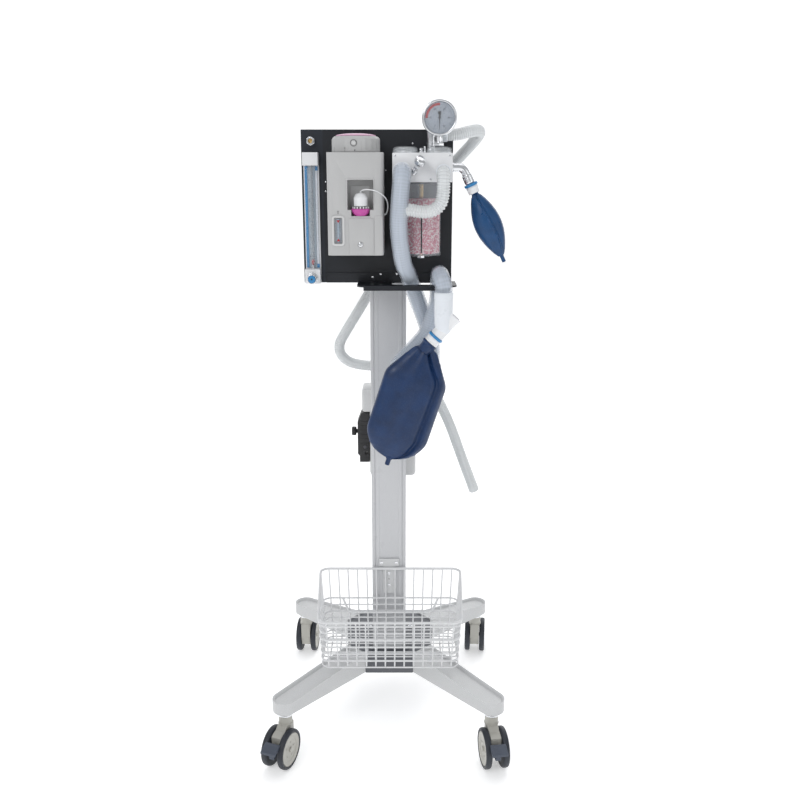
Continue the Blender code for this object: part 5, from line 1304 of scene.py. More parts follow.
def make_flowmeter_pieces():
    """Flowmeter: white blocks, clear block with scale, stripes and metering tube, red float,
    lobed needle valve knob.
    """
    refined("flowmeter_frame", "white", "frame", 0.0008, 2)
    tube_box, ball, knob = Box("flowmeter_tube"), Box("flowmeter_float"), Box("flowmeter_knob")
    x, y = ball.mid[:2]
    low, high = tube_box.low[2], tube_box.high[2]
    left, right, back = tube_box.low[0], tube_box.high[0], tube_box.high[1]
    block = rounded_box(tube_box.low, tube_box.high, 0.0012)
    wall = lathe([(0.003, low + 0.001), (0.0037, low + 0.001), (0.0037, high - 0.001),
        (0.003, high - 0.001)], Matrix.Translation((x, y, 0)), 32, closed=True)
    fixed("flowmeter_tube", [(block, "lens"), (wall, "lens")], "clear_plastic")
    plate_y = back - 0.0012

    def strip(x0, x1, z0, z1, look, lift=0.0):
        """Thin bar on the scale plate, between two x and two z."""
        return rounded_box((x0, plate_y - 0.0007 - lift, z0), (x1, plate_y - lift, z1), 0.0002, 1), look

    parts = [strip(left + 0.0004, left + 0.0052, low + 0.001, high - 0.001, "sky"), strip(left + 0.0056,
        right - 0.0058, low + 0.001, high - 0.001, "scale_plate"), strip(right - 0.0052, right - 0.0018,
        low + 0.001, high - 0.001, "white_film"), strip(right - 0.0056, right - 0.0006, high - 0.0085,
        high - 0.001, "sky", 0.0009), strip(right - 0.0056, right - 0.0006, low + 0.001, low + 0.008, "sky",
        0.0009), strip(left + 0.0004, left + 0.006, high - 0.005, high - 0.001, "sky", 0.0009)]
    for k in range(SCALE_STEPS + 1):
        z = low + 0.018 + k * (high - low - 0.03) / SCALE_STEPS
        long = 0.003 if k % 5 == 0 else 0.0017
        parts.append(strip(x + 0.0042 - long, x + 0.0042, z - 0.00022, z + 0.00022, "ink", 0.0008))
        if k % 5 == 0:
            parts.append(strip(x - 0.0052, x - 0.0036, z - 0.00022, z + 0.00022, "ink", 0.0008))
    for k in range(0, SCALE_STEPS + 1, 10):
        z = low + 0.018 + k * (high - low - 0.03) / SCALE_STEPS
        digits = lettering(str(k // 10), 0.0042, (x - 0.0046, plate_y - 0.0009, z + 0.0034))
        parts.append((digits, "ink"))
    trim("flowmeter_scale", parts, "white_plastic")
    red = turned([(0, ball.low[2]), (0.0016, ball.low[2] + 0.002), (0.0027, ball.low[2] + 0.0055),
        (0.0027, ball.low[2] + 0.0085), (0.0021, ball.low[2] + 0.009), (0.0027, ball.low[2] + 0.0095),
        (0.0027, ball.high[2]), (0, ball.high[2])], 0.0004, Matrix.Translation((x, y, 0)), 28)
    moving("flowmeter_float", [(red, "float")], "red_float")
    at = (knob.mid[0], knob.high[1], knob.mid[2])
    size = knob.size[1]
    stem = lathe([(0, 0), (0.004, 0), (0.004, 0.0066), (0, 0.0066)], towards(-Y_AXIS, at), 32)
    lobes = turned([(0.003, 0.0062), (0.0088, 0.0062), (0.0097, 0.0072), (0.0097, size - 0.004),
        (0.009, size - 0.0022), (0.0074, size - 0.002), (0.007, size - 0.0036), (0.003, size - 0.0036)],
        0.0007, towards(-Y_AXIS, at), 96, wavy(9, 0.1, size - 0.0021, 0.006, 0.7), closed=True)
    disc = turned([(0, size - 0.0046), (0.0069, size - 0.0046), (0.0069, size - 0.0016),
        (0.0058, size - 0.0004), (0.002, size - 0.0002), (0, size - 0.0002)], 0.0008, towards(-Y_AXIS, at),
        48)
    spot = turned([(0, size - 0.0012), (0.0017, size - 0.0012), (0.0015, size), (0, size)], 0.0003,
        towards(-Y_AXIS, at), 24)
    moving("flowmeter_knob", [(stem, "chrome"), (lobes, "chrome"), (disc, "sky"), (spot, "ink")],
        "sky_plastic")
    frame_box = Box("flowmeter_frame")
    bezel = turned([(0.0045, 0.0), (0.0108, 0.0), (0.0104, 0.0026), (0.0045, 0.0032)], 0.0006,
        towards(-Y_AXIS, (at[0], frame_box.low[1] + 0.0006, at[2])), 48, closed=True)
    fitting = turned([(0, 0), (0.0042, 0), (0.0042, 0.0018), (0.0028, 0.003), (0.0028, 0.0046),
        (0, 0.0046)], 0.0005, towards(-Z_AXIS, (x, y, high + 0.0044)), 24)
    trim("flowmeter_fittings", [(bezel, "chrome"), (fitting, "turned")], "chrome")


# ---------------------------------------------------------------- vaporizer


def panel_with_hole(low, high, face, lift, hole, radius, corner=0.003):
    """Thin raised plate in the XZ plane with a round hole:
    rings that run from the plate's outline to the circle.

    Every ring has the same angles round the hole, so each point is outline + (circle - outline) k,
    at its depth.
    """
    angle = np.arange(96) * TURN / 96
    outline = rectangle(low, high, corner, 8)
    dense = np.concatenate([np.linspace(p, q, 24)[:-1] for p, q in zip(outline,
        np.roll(outline, -1, axis=0))])
    around = np.arctan2(dense[:, 1] - hole[1], dense[:, 0] - hole[0]) % TURN
    order = np.argsort(around)
    far = np.hypot(dense[:, 0] - hole[0], dense[:, 1] - hole[1])[order]
    reach = np.interp(angle, around[order], far, period=TURN)
    spokes = np.stack([np.cos(angle), np.sin(angle)], axis=1)
    rings = []
    for gap, depth in ((0.0, 0.0), (0.0, lift * 0.55), (0.0003, lift * 0.9), (0.0008, lift)):
        flat = np.array(hole) + spokes * (reach - gap)[:, None]
        rings.append(np.column_stack([flat[:, 0], np.full(96, face - depth), flat[:, 1]]))
    for gap, depth in ((0.0006, lift), (0.0, lift * 0.8), (0.0, 0.0)):
        flat = np.array(hole) + spokes * (radius + gap)
        rings.append(np.column_stack([flat[:, 0], np.full(96, face - depth), flat[:, 1]]))
    return outward(grid(np.array(rings), closed=True))


def make_vaporizer_pieces():
    """Vaporizer: softened body with raised front panels, window frame, recess plate, collar, cap,
    dial and button.
    """
    refined("vaporizer_body", "vaporizer", "frame", 0.001, 2, 45.0, 42.0)
    body, glass, screw = Box("vaporizer_body"), Box("sight_glass"), Box("drain_screw")
    cap, collar = Box("filler_cap"), Box("filler_collar")
    face = body.low[1]
    hole = (screw.mid[0], screw.mid[2])
    parts = [(panel_with_hole((-0.0655, body.low[2] + 0.0012), (-0.0225, 1.069), face + 0.0002, 0.0015,
        hole, 0.005), "vaporizer")]
    right = slab(rectangle((-0.0212, body.low[2] + 0.0012), (-0.0072, 1.073), 0.0025), face - 0.0007,
        face + 0.0003, 0.0004, axis="Y")
    parts.append((right, "vaporizer"))
    gx, gz, gw, gh = glass.mid[0], glass.mid[2], glass.size[0] / 2, glass.size[2] / 2
    # The raised frame round the sight glass is in the lighter grey: painted highlight.
    rings = []
    for grow, depth in ((0.0004, -0.0001), (0.0004, 0.0016), (0.001, 0.0021), (0.0034, 0.0021),
            (0.0042, 0.0014), (0.0044, -0.0001)):
        flat = rectangle((gx - gw - grow, gz - gh - grow), (gx + gw + grow, gz + gh + grow), 0.002 + grow)
        rings.append(np.column_stack([flat[:, 0], np.full(len(flat), face - depth), flat[:, 1]]))
    parts.append((outward(grid(np.array(rings), closed=True)), "vaporizer_light"))
    # The plate at the filler is in the lighter grey: painted highlight.
    plate = slab(rectangle((cap.mid[0] - 0.019, 1.085), (cap.mid[0] + 0.015, 1.123), 0.002), -0.1572,
        -0.1557, 0.0004, axis="Y")
    parts.append((plate, "vaporizer_light"))
    rim = []
    for grow, depth in ((0.0002, -0.0002), (0.0002, 0.0004), (0.0012, 0.0009), (0.0022, 0.0004),
            (0.0024, -0.0002)):
        flat = rectangle((-0.0678 - grow, 1.089), (-0.0228 + grow, 1.1335 + grow), 0.0022)
        rim.append(np.column_stack([flat[:, 0], np.full(len(flat), face - depth), flat[:, 1]]))
    parts.append((outward(grid(np.array(rim), closed=True)), "vaporizer"))
    arrow = slab([(gx - 0.0008, 1.076), (gx + 0.0008, 1.076), (gx + 0.0008, 1.0795), (gx + 0.0018, 1.0795),
        (gx, 1.0822), (gx - 0.0018, 1.0795), (gx - 0.0008, 1.0795)], face - 0.0002, face + 0.0002, 0.0001,
        1, "Y")
    parts.append((arrow, "vaporizer_dark"))
    groove = rounded_box((body.low[0] - 0.0002, body.low[1] + 0.02, body.low[2] + 0.02),
        (body.low[0] + 0.0004, body.high[1] - 0.02, body.high[2] - 0.02), 0.0003)
    parts += [(groove, "vaporizer"), (moved(groove, (body.size[0] - 0.0002, 0, 0)), "vaporizer")]
    trim("vaporizer_trim", parts, "pale_grey")

    window = rounded_box(glass.low, glass.high, 0.0008)
    inner = rounded_box((gx - gw + 0.001, face + 0.0022, gz - gh + 0.001), (gx + gw - 0.001, face + 0.0027,
        gz + gh - 0.001), 0.0002, 1)
    pipe = turned([(0, -gh + 0.002), (0.0024, -gh + 0.002), (0.0024, gh - 0.002), (0, gh - 0.002)], 0.0006,
        Matrix.Translation((gx, face + 0.002, gz)), 24)
    triangles = []
    for sign in (1, -1):
        z = gz + sign * (gh - 0.0065)
        triangles.append((slab([(gx - 0.0028, z + sign * 0.0026), (gx + 0.0028, z + sign * 0.0026),
            (gx, z - sign * 0.0026)], face - 0.0004, face + 0.0006, 0.0002, 1, "Y"), "red"))
    fixed("sight_glass", [(window, "lens"), (inner, "glass"), (pipe, "scale_plate")] + triangles,
        "clear_plastic")

    spot = Matrix.Translation((collar.mid[0], collar.mid[1], 0))
    foot, r = collar.low[2], collar.size[0] / 2
    tapered = turned([(0, foot), (r - 0.0075, foot), (r - 0.003, foot + 0.0048), (r - 0.0006, foot + 0.01),
        (r - 0.001, foot + 0.0118), (r - 0.004, foot + 0.0124), (0, foot + 0.0124)], 0.0006, spot, 96,
        lambda p, a: 1 - 0.045 * np.abs(np.sin(4 * a))[None, :] * np.ones((len(p), 1)))
    band = turned([(0, foot + 0.0122), (r - 0.0046, foot + 0.0122), (r - 0.0046, foot + 0.0152),
        (0, foot + 0.0152)], 0.0004, spot, 64)
    teeth = []
    for k in range(16):
        a = k * TURN / 16
        at = Matrix.Rotation(a, 4, "Z")
        tooth = rounded_box((r - 0.0056, -0.0014, foot + 0.0122), (r - 0.0036, 0.0014, foot + 0.0154),
            0.0004, 1)
        teeth.append((placed(tooth, spot @ at), "white"))
    fixed("filler_collar", [(tapered, "magenta"), (band, "ink")] + teeth, "magenta_plastic", crease=28)
    cr, cz, ch = cap.size[0] / 2, cap.low[2], cap.size[2]
    ribbed = turned([(0, cz), (cr - 0.0006, cz), (cr, cz + 0.001), (cr, cz + ch - 0.0075),
        (cr - 0.0008, cz + ch - 0.006), (cr - 0.003, cz + ch - 0.0022), (cr - 0.0055, cz + ch - 0.0002),
        (0, cz + ch)], 0.0012, spot, 144, wavy(30, 0.035, cz + ch - 0.0065, cz + 0.0012))
    top = turned([(0, cz + ch - 0.001), (0.0046, cz + ch - 0.001), (0.0044, cz + ch + 0.0001),
        (0, cz + ch + 0.0001)], 0.0004, spot, 24)
    moving("filler_cap", [(ribbed, "white"), (top, "white")], "white_plastic")
    sr = screw.size[0] / 2
    drain = screw_head((screw.mid[0], screw.low[1] + 0.0014, screw.mid[2]), -Y_AXIS, sr - 0.0002, 0.0014,
        0.5)
    shank = lathe([(0, 0), (sr, 0), (sr, screw.size[1] - 0.0012), (0, screw.size[1] - 0.0012)],
        towards(-Y_AXIS, (screw.mid[0], screw.high[1], screw.mid[2])), 32)
    moving("drain_screw", [(drain, "chrome"), (shank, "turned")], "chrome")
    make_dial_pieces()


def make_dial_pieces():
    """Turn dial: broad shallow flutes, a pocket for the release button, numbers, marks,
    and its domed pink cap.
    """
    dial, cap, button = Box("vaporizer_dial"), Box("dial_cap"), Box("dial_button")
    r, z0, z1 = dial.size[0] / 2, dial.low[2], dial.high[2]
    at = Matrix.Translation((dial.mid[0], dial.mid[1], 0))
    push = np.array([button.mid[0] - dial.mid[0], button.mid[2]])
    count = 360
    profile = softened([(0, z0), (r - 0.001, z0), (r - 0.0002, z0 + 0.001)], 0.0006)
    wall = np.column_stack([np.full(30, r - 0.0002), np.linspace(z0 + 0.0016, z1 - 0.006, 30)])
    crown = softened([(r - 0.0002, z1 - 0.0056), (r - 0.001, z1 - 0.004), (r - 0.004, z1 - 0.0006),
        (r - 0.0062, z1), (0, z1)], 0.0015)
    profile = np.concatenate([profile, wall, crown])

    def fluted(p, a):
        flute = 1 - 0.016 * ((p[:, 1] > z0 + 0.004) & (p[:, 1] < z1 - 0.002) & (p[:, 0] > r
            - 0.006))[:, None] * (0.5 - 0.5 * np.cos(22 * a))[None, :] ** 0.7
        off = (a + TURN / 4 + TURN / 2) % TURN - TURN / 2
        quiet = np.clip((np.abs(off) - 0.22) / 0.08, 0, 1)
        flute = 1 - (1 - flute) * quiet[None, :]
        reach = np.hypot((off * r)[None, :] - push[0], p[:, 1:] - push[1])
        return flute * (1 - (reach < 0.0049) * 0.11)

    body = lathe(profile, at, count, fluted)
    spot = (button.mid[0], dial.mid[1] - r + 0.0006, button.mid[2])
    # The lip round the button's pocket is in the darker grey: painted shade in the pocket.
    lip = turned([(0.0045, -0.004), (0.006, -0.004), (0.006, 0.0009), (0.0056, 0.0013), (0.005, 0.0013),
        (0.0046, 0.0008)], 0.0003, towards(-Y_AXIS, spot), 48, closed=True)
    parts = [(body, "vaporizer"), (lip, "vaporizer_dark")]
    notch = slab([(-0.0012, z0 + 0.004), (0.0012, z0 + 0.004), (0, z0 + 0.0012)], dial.mid[1] - r - 0.0001,
        dial.mid[1] - r + 0.0012, 0.0001, 1, "Y")
    parts.append((moved(notch, (dial.mid[0], 0, 0)), "ink"))
    for k, word in enumerate(("0", "1", "2", "3", "4", "5")):
        a = -TURN / 4 - 0.42 - k * 0.62
        digits = lettering(word, 0.0056, (0, -r - 0.00005, z0 + 0.0062))
        spin = Matrix.Rotation(a + TURN / 4, 4, "Z")
        parts.append((placed(digits, at @ spin), "vaporizer_dark"))
        dash = rounded_box((-0.0004, -r - 0.0001, z0 + 0.001), (0.0004, -r + 0.0015, z0 + 0.003), 0.0001, 1)
        parts.append((placed(dash, at @ spin), "vaporizer_dark"))
    make_piece("vaporizer_dial", parts, "dial", ("vaporizer_dial",), "pale_grey", crease=30)
    cr = cap.size[0] / 2
    a = np.linspace(0, TURN / 4, 14)
    dome = np.column_stack([cr * np.cos(a), cap.low[2] + 0.0004 + (cap.size[2] - 0.0006) * np.sin(a)])
    dome = np.concatenate([[(0, cap.low[2]), (cr - 0.0002, cap.low[2])], dome])
    dome[-1, 0] = 0
    rim = turned([(cr - 0.003, cap.low[2] - 0.0001), (cr, cap.low[2] - 0.0001), (cr, cap.low[2] + 0.001),
        (cr - 0.003, cap.low[2] + 0.0014)], 0.0004, at, 96, closed=True)
    make_piece("dial_cap", [(lathe(dome, at, 96), "pink"), (rim, "pink")], "dial", ("dial_cap",),
        "pink_plastic")
    # The release button is in the lighter grey: painted highlight.
    br = button.size[0] / 2
    press = turned([(0, 0), (br - 0.0001, 0), (br - 0.0001, button.size[1] - 0.0014), (br - 0.0012,
        button.size[1] - 0.0002), (0.0016, button.size[1] - 0.0006), (0, button.size[1] - 0.001)], 0.0006,
        towards(-Y_AXIS, (button.mid[0], button.high[1], button.mid[2])), 40)
    moving("dial_button", [(press, "vaporizer_light")], "pale_grey")


# ---------------------------------------------------------------- absorber


def make_absorber_pieces():
    """White head with ports, fittings and joints, clear valve domes over thin discs, and the front screws."""
    refined("absorber_head", "white", "frame", 0.0005, 2)
    head = Box("absorber_head")
    front, top = head.low[1] + 0.008, 1.1785
    parts = []
    for node, side in (("valve_dome_left", "left"), ("valve_dome_right", "right")):
        box, disc = Box(node), Box(f"valve_disc_{side}")
        at = Matrix.Translation((box.mid[0], box.mid[1], 0))
        r, z0, z1 = box.size[0] / 2, box.low[2], box.high[2]
        shell = turned([(0.0, z1), (r - 0.006, z1), (r - 0.0016, z1 - 0.0018), (r - 0.0002, z1 - 0.0055),
            (r, z0), (r - 0.0016, z0), (r - 0.0018, z1 - 0.0058), (r - 0.0072, z1 - 0.0016),
            (0.0, z1 - 0.0016)], 0.0012, at, 64, wavy(24, 0.012, z1 - 0.003, z0 + 0.0008))
        make_piece(node, [(shell, "clear")], "frame", (node,), "clear_plastic")
        dr = disc.size[0] / 2
        plate = turned([(0, disc.low[2]), (dr, disc.low[2]), (dr, disc.high[2]), (0.004, disc.high[2]),
            (0.0034, disc.high[2] + 0.0012), (0, disc.high[2] + 0.0014)], 0.0004, at, 48)
        moving(f"valve_disc_{side}", [(plate, "beige")], "beige_plastic")
        ring = turned([(r - 0.0052, top - 0.0001), (r - 0.0022, top - 0.0001), (r - 0.0022, top + 0.0022),
            (r - 0.0052, top + 0.0018)], 0.0006, at, 64, closed=True)
        parts.append((ring, "chrome"))
        for k in range(6):
            a = k * TURN / 6 + 0.3
            spot = (box.mid[0] + (r - 0.0078) * math.cos(a), box.mid[1] + (r - 0.0078) * math.sin(a),
                top + 0.003)
            if side == "left" or k % 2:
                parts.append((turned([(0, 0), (0.0016, 0), (0.0014, 0.004), (0, 0.0044)], 0.0004,
                    Matrix.Translation((spot[0], spot[1], top - 0.0001)), 14), "turned"))
    middle = head.mid[0]
    for x, y, radius, tall in ((middle - 0.0025, -0.148, 0.003, 0.0072),
            (middle + 0.0042, -0.141, 0.0022, 0.011), (middle - 0.001, -0.113, 0.0036, 0.009)):
        fitting = turned([(0, 0), (radius * 1.25, 0), (radius * 1.25, 0.0022), (radius * 0.8, 0.0028),
            (radius * 0.8, tall - 0.002), (radius, tall - 0.0015), (radius * 0.8, tall), (0, tall)], 0.0004,
            Matrix.Translation((x, y, top - 0.0001)), 24)
        parts.append((fitting, "chrome"))
    for x in (0.02625, 0.09775):
        sleeve = turned([(0.0088, 0), (0.0126, 0), (0.0126, 0.0012), (0.0112, 0.0018), (0.0088, 0.0018)],
            0.0004, towards(-Y_AXIS, (x, front + 0.0003, 1.1465)), 40, closed=True)
        parts.append((sleeve, "white"))
    for x, z in ((0.0145, 1.1735), (0.1095, 1.1735), (0.1095, 1.1335), (0.0145, 1.1335), (0.076, 1.1335)):
        parts.append((screw_head((x, front + 0.0001, z), -Y_AXIS, 0.0018, 0.0006), "chrome"))
    trim("head_fittings", parts, "chrome")


def make_canister_pieces(granule, seed=7):
    """Clear canister on its rod with ribbed rims, and granules packed inside the wall over a darker core.

    Each granule is an octahedron with its corners moved at random;
    they lie on a staggered grid over the fill.
    """
    can, fill, rod = Box("canister"), Box("soda_lime"), Box("canister_rod")
    x, y = can.mid[:2]
    at = Matrix.Translation((x, y, 0))
    r, z0, z1 = can.size[0] / 2, can.low[2], can.high[2]
    cup = turned([(0.003, z0), (r - 0.0012, z0), (r, z0 + 0.0012), (r, z0 + 0.005),
        (r - 0.0005, z0 + 0.0056), (r - 0.0005, z1 - 0.0062), (r, z1 - 0.0056), (r, z1), (r - 0.0018, z1),
        (r - 0.0018, z0 + 0.0022), (0.003, z0 + 0.002)], 0.0006, at, 80, closed=True)
    fixed("canister", [(cup, "canister")], "clear_plastic")
    rng = np.random.default_rng(seed)
    wall = fill.size[0] / 2 - granule * 0.45
    low, high = fill.low[2] + granule * 0.4, fill.high[2] - granule * 0.4
    rows, columns = int((high - low) / (granule * 0.8)), int(TURN * wall / (granule * 0.95))
    row, column = np.divmod(np.arange(rows * columns), columns)
    angle = (column + 0.5 * (row % 2) + rng.uniform(-0.25, 0.25, rows * columns)) * TURN / columns
    height = low + row * (high - low) / (rows - 1) + rng.uniform(-0.2, 0.2, rows * columns) * granule
    reach = wall - rng.uniform(0, 0.3, rows * columns) * granule
    centres = np.column_stack([reach * np.cos(angle), reach * np.sin(angle), height])
    top_r = np.sqrt(rng.uniform(0.02, 0.86, CROWN_GRANULES)) * wall
    top_a = rng.uniform(0, TURN, CROWN_GRANULES)
    crown = np.column_stack([top_r * np.cos(top_a), top_r * np.sin(top_a),
        high + rng.uniform(-0.4, 0.5, CROWN_GRANULES) * granule])
    centres = np.concatenate([centres, crown])
    count = len(centres)
    corners = np.array([(1, 0, 0), (-1, 0, 0), (0, 1, 0), (0, -1, 0), (0, 0, 1), (0, 0, -1)], float)
    triangles = np.array([(0, 2, 4), (2, 1, 4), (1, 3, 4), (3, 0, 4), (2, 0, 5), (1, 2, 5), (3, 1, 5),
        (0, 3, 5)])
    turn = np.linalg.qr(rng.normal(size=(count, 3, 3)))[0]
    turn[np.linalg.det(turn) < 0, 0] *= -1
    shapes = corners[None] * rng.uniform(0.42, 0.66, (count, 6, 1)) * granule
    points = centres[:, None] + np.einsum("nij,nkj->nki", turn, shapes)
    radial = np.hypot(points[..., 0], points[..., 1])
    limit = fill.size[0] / 2
    points[..., :2] *= np.minimum(1, limit / np.maximum(radial, TINY))[..., None]
    tone = np.clip(rng.beta(1.3, 1.3, count), 0, 1)
    trail = np.stack([tone, 0 * tone, 0 * tone], axis=-1)[:, None].repeat(6, axis=1)
    faces = (triangles[None] + 6 * np.arange(count)[:, None, None]).reshape(-1, 3).tolist()
    grains = surface(points.reshape(-1, 3) + [x, y, 0], faces, trail)
    core_r = wall - granule * 0.3
    core = lathe([(0.0036, fill.low[2]), (core_r, fill.low[2]), (core_r, fill.high[2] - granule),
        (0.0036, fill.high[2] - granule)], at, 48, closed=True)
    core[2][:, 0] = 0.3
    fixed("soda_lime", [(grains, "granules"), (core, "granules")], "granules", crease=15)
    bolt_r = 0.0025
    bolt = lathe([(0, rod.low[2] + 0.004), (bolt_r, rod.low[2] + 0.004), (bolt_r, rod.high[2]),
        (0, rod.high[2])], at, 24)
    nut = turned([(0, rod.low[2]), (0.0052, rod.low[2]), (0.0058, rod.low[2] + 0.001),
        (0.0058, rod.low[2] + 0.0052), (0, rod.low[2] + 0.0057)], 0.0004, at, 48, hexagon)
    # A black strip down the front wall: painted shade where a dark gap runs down the granules.
    painted_shade_strip = rounded_box((x - 0.0012, y - r + 0.0004, z0 + 0.006), (x + 0.0012, y - r + 0.0014,
        fill.high[2] - 0.01), 0.0004, 1)
    sleeve = turned([(bolt_r, fill.high[2] + 0.001), (0.004, fill.high[2] + 0.001), (0.004, rod.high[2]),
        (bolt_r, rod.high[2])], 0.0004, at, 24, closed=True)
    fixed("canister_rod", [(bolt, "brass"), (nut, "chrome"), (sleeve, "brass")], "brass")
    seal = turned([(r - 0.0062, z1 - 0.003), (r - 0.0022, z1 - 0.003), (r - 0.0022, z1), (r - 0.0062, z1)],
        0.0006, at, 64, closed=True)
    trim("canister_seal", [(seal, "black"), (painted_shade_strip, "ink")], "black_plastic")


def make_gauge_pieces():
    """Pressure gauge: round case and bezel, printed face with ticks, digits and a red arc, needle, lens,
    hex stem.
    """
    case, lens, needle = Box("gauge_case"), Box("gauge_lens"), Box("gauge_needle")
    x, z = needle.mid[0], case.high[2] - 0.031
    y1, y0, r = case.high[1], case.low[1], 0.031
    depth = y1 - y0
    at = towards(-Y_AXIS, (x, y1, z))
    shell = turned([(0, 0), (r - 0.0055, 0), (r - 0.0016, 0.0022), (r - 0.0012, 0.005),
        (r - 0.0012, depth - 0.0068), (r, depth - 0.0062), (r, depth - 0.0018),
        (r - 0.0012, depth - 0.0002), (r - 0.0034, depth), (r - 0.0046, depth - 0.0012),
        (r - 0.005, depth - 0.0066), (0, depth - 0.0066)], 0.001, at, 96)
    stem_z0 = case.low[2]
    stem = Matrix.Translation((x, -0.1303, 0))

    def six(p, a):
        made = np.ones((len(p), len(a)))
        rows = p[:, 0] > 0.0068
        made[rows] = hexagon(p[rows], a) * 0.93
        return made

    post = lathe([(0, stem_z0), (0.008, stem_z0), (0.0085, stem_z0 + 0.0006), (0.0085, stem_z0 + 0.0056),
        (0.008, stem_z0 + 0.0062), (0.0066, stem_z0 + 0.0064), (0.0062, stem_z0 + 0.008),
        (0.0066, stem_z0 + 0.0096), (0.0066, stem_z0 + 0.02), (0, stem_z0 + 0.021)], stem, 48, six)
    boss = turned([(0, 0), (0.004, 0), (0.0036, 0.003), (0, 0.0036)], 0.0006, towards(Y_AXIS,
        (x, y1 - 0.0002, z)), 24)
    fixed("gauge_case", [(shell, "chrome"), (post, "chrome"), (boss, "turned")], "chrome")
    face_y = y1 - depth + 0.0066
    disc = turned([(0, 0.0), (r - 0.0052, 0.0), (r - 0.0052, 0.0004), (0, 0.0004)], 0.0001, towards(-Y_AXIS,
        (x, face_y, z)), 96)
    parts = [(disc, "face")]
    ink_y = face_y - 0.00045

    def tick(angle, inner, outer, width, look="ink"):
        """Short bar along a radius; the angle is in degrees from 12 o'clock, clockwise."""
        bar = rounded_box((-width / 2, -0.00016, inner), (width / 2, 0.00006, outer), 0.00005, 1)
        return placed(bar, Matrix.Translation((x, ink_y, z)) @ Matrix.Rotation(math.radians(angle), 4,
            "Y")), look

    for k, angle in enumerate(np.arange(-150, 151, 7.5)):
        parts.append(tick(angle, 0.0196 if k % 4 == 0 else 0.0212, 0.0228,
            0.0006 if k % 4 == 0 else 0.0003))
    for k, angle in enumerate(range(-150, 151, 60)):
        a = math.radians(angle)
        digits = lettering(str(k * 10), 0.0048, (x + 0.0162 * math.sin(a), ink_y - 0.0001,
            z + 0.0162 * math.cos(a)))
        parts.append((digits, "ink"))
    a = np.radians(np.linspace(-92, 2, 40))
    arc = []
    for radius, lift in ((0.0204, 0.0), (0.0204, 0.0002), (0.0246, 0.0002), (0.0246, 0.0)):
        arc.append(np.column_stack([x + radius * np.sin(a), np.full(40, ink_y + 0.00005 - lift),
            z + radius * np.cos(a)]))
    ribbon = grid(np.array(arc), around=False, closed=True)
    ends = [[k * 40 for k in range(4)], [k * 40 + 39 for k in range(4)][::-1]]
    parts.append((outward(surface(ribbon[0], ribbon[1] + ends)), "red"))
    trim("gauge_face", parts, "white_plastic")
    ny = needle.mid[1]
    tail = slab([(-0.0005, 0.0), (-0.003, 0.0098), (-0.0016, 0.0104), (0.0016, 0.0104), (0.003, 0.0098),
        (0.0005, 0.0)], -0.0003, 0.0003, 0.0001, 1, "Y")
    point = slab([(-0.0008, 0.0), (0.0008, 0.0), (0.0003, -0.0205), (-0.0003, -0.0205)][::-1], -0.0003,
        0.0003, 0.0001, 1, "Y")
    hub = turned([(0, -0.0006), (0.0022, -0.0006), (0.002, 0.0008), (0, 0.001)], 0.0003, towards(-Y_AXIS),
        28)
    hand = [(moved(s, (x, ny, z)), "ink") for s in (tail, point)] + [(moved(hub, (x, ny, z)), "black")]
    moving("gauge_needle", hand, "black_plastic")
    cover = turned([(0, 0), (lens.size[0] / 2, 0), (lens.size[0] / 2, 0.0012), (0, 0.0014)], 0.0003,
        towards(-Y_AXIS, (x, lens.high[1], z)), 96)
    fixed("gauge_lens", [(cover, "lens")], "clear_plastic")


def make_relief_pieces():
    """Relief valve with turned rings and its side outlet, and the ribbed black knob on top."""
    valve, knob = Box("apl_valve"), Box("apl_knob")
    x, y, r = knob.mid[0], knob.mid[1], 0.0085
    at = Matrix.Translation((x, y, valve.low[2]))
    tall = valve.size[2]
    body = turned([(0, 0), (r, 0), (r, 0.006), (r - 0.001, 0.0066), (r - 0.001, 0.011), (r, 0.0116),
        (r, tall - 0.002), (r - 0.001, tall), (0, tall)], 0.0005, at, 48)
    outlet_at = towards(X_AXIS, (x, y, valve.low[2] + 0.0305))
    outlet = turned([(0, 0.004), (0.0078, 0.004), (0.0078, 0.0115), (0.009, 0.012), (0.009, 0.0133),
        (0, 0.0133)], 0.0005, outlet_at, 40)
    fixed("apl_valve", [(body, "turned"), (outlet, "chrome")], "chrome")
    kr, k0, kh = knob.size[0] / 2, knob.low[2], knob.size[2]
    grip = turned([(0, k0), (kr - 0.0003, k0), (kr, k0 + 0.001), (kr, k0 + kh - 0.0024),
        (kr - 0.0014, k0 + kh - 0.0004), (0.0052, k0 + kh), (0.0048, k0 + kh - 0.0006),
        (0, k0 + kh - 0.0006)], 0.0006, Matrix.Translation((x, y, 0)), 120,
        wavy(20, 0.06, k0 + kh - 0.0022, k0 + 0.0008))
    dash = rounded_box((x - 0.0004, y - kr + 0.0016, k0 + kh - 0.0009),
        (x + 0.0004, y - 0.0014, k0 + kh - 0.0001), 0.0001, 1)
    moving("apl_knob", [(grip, "black"), (dash, "white")], "black_plastic")


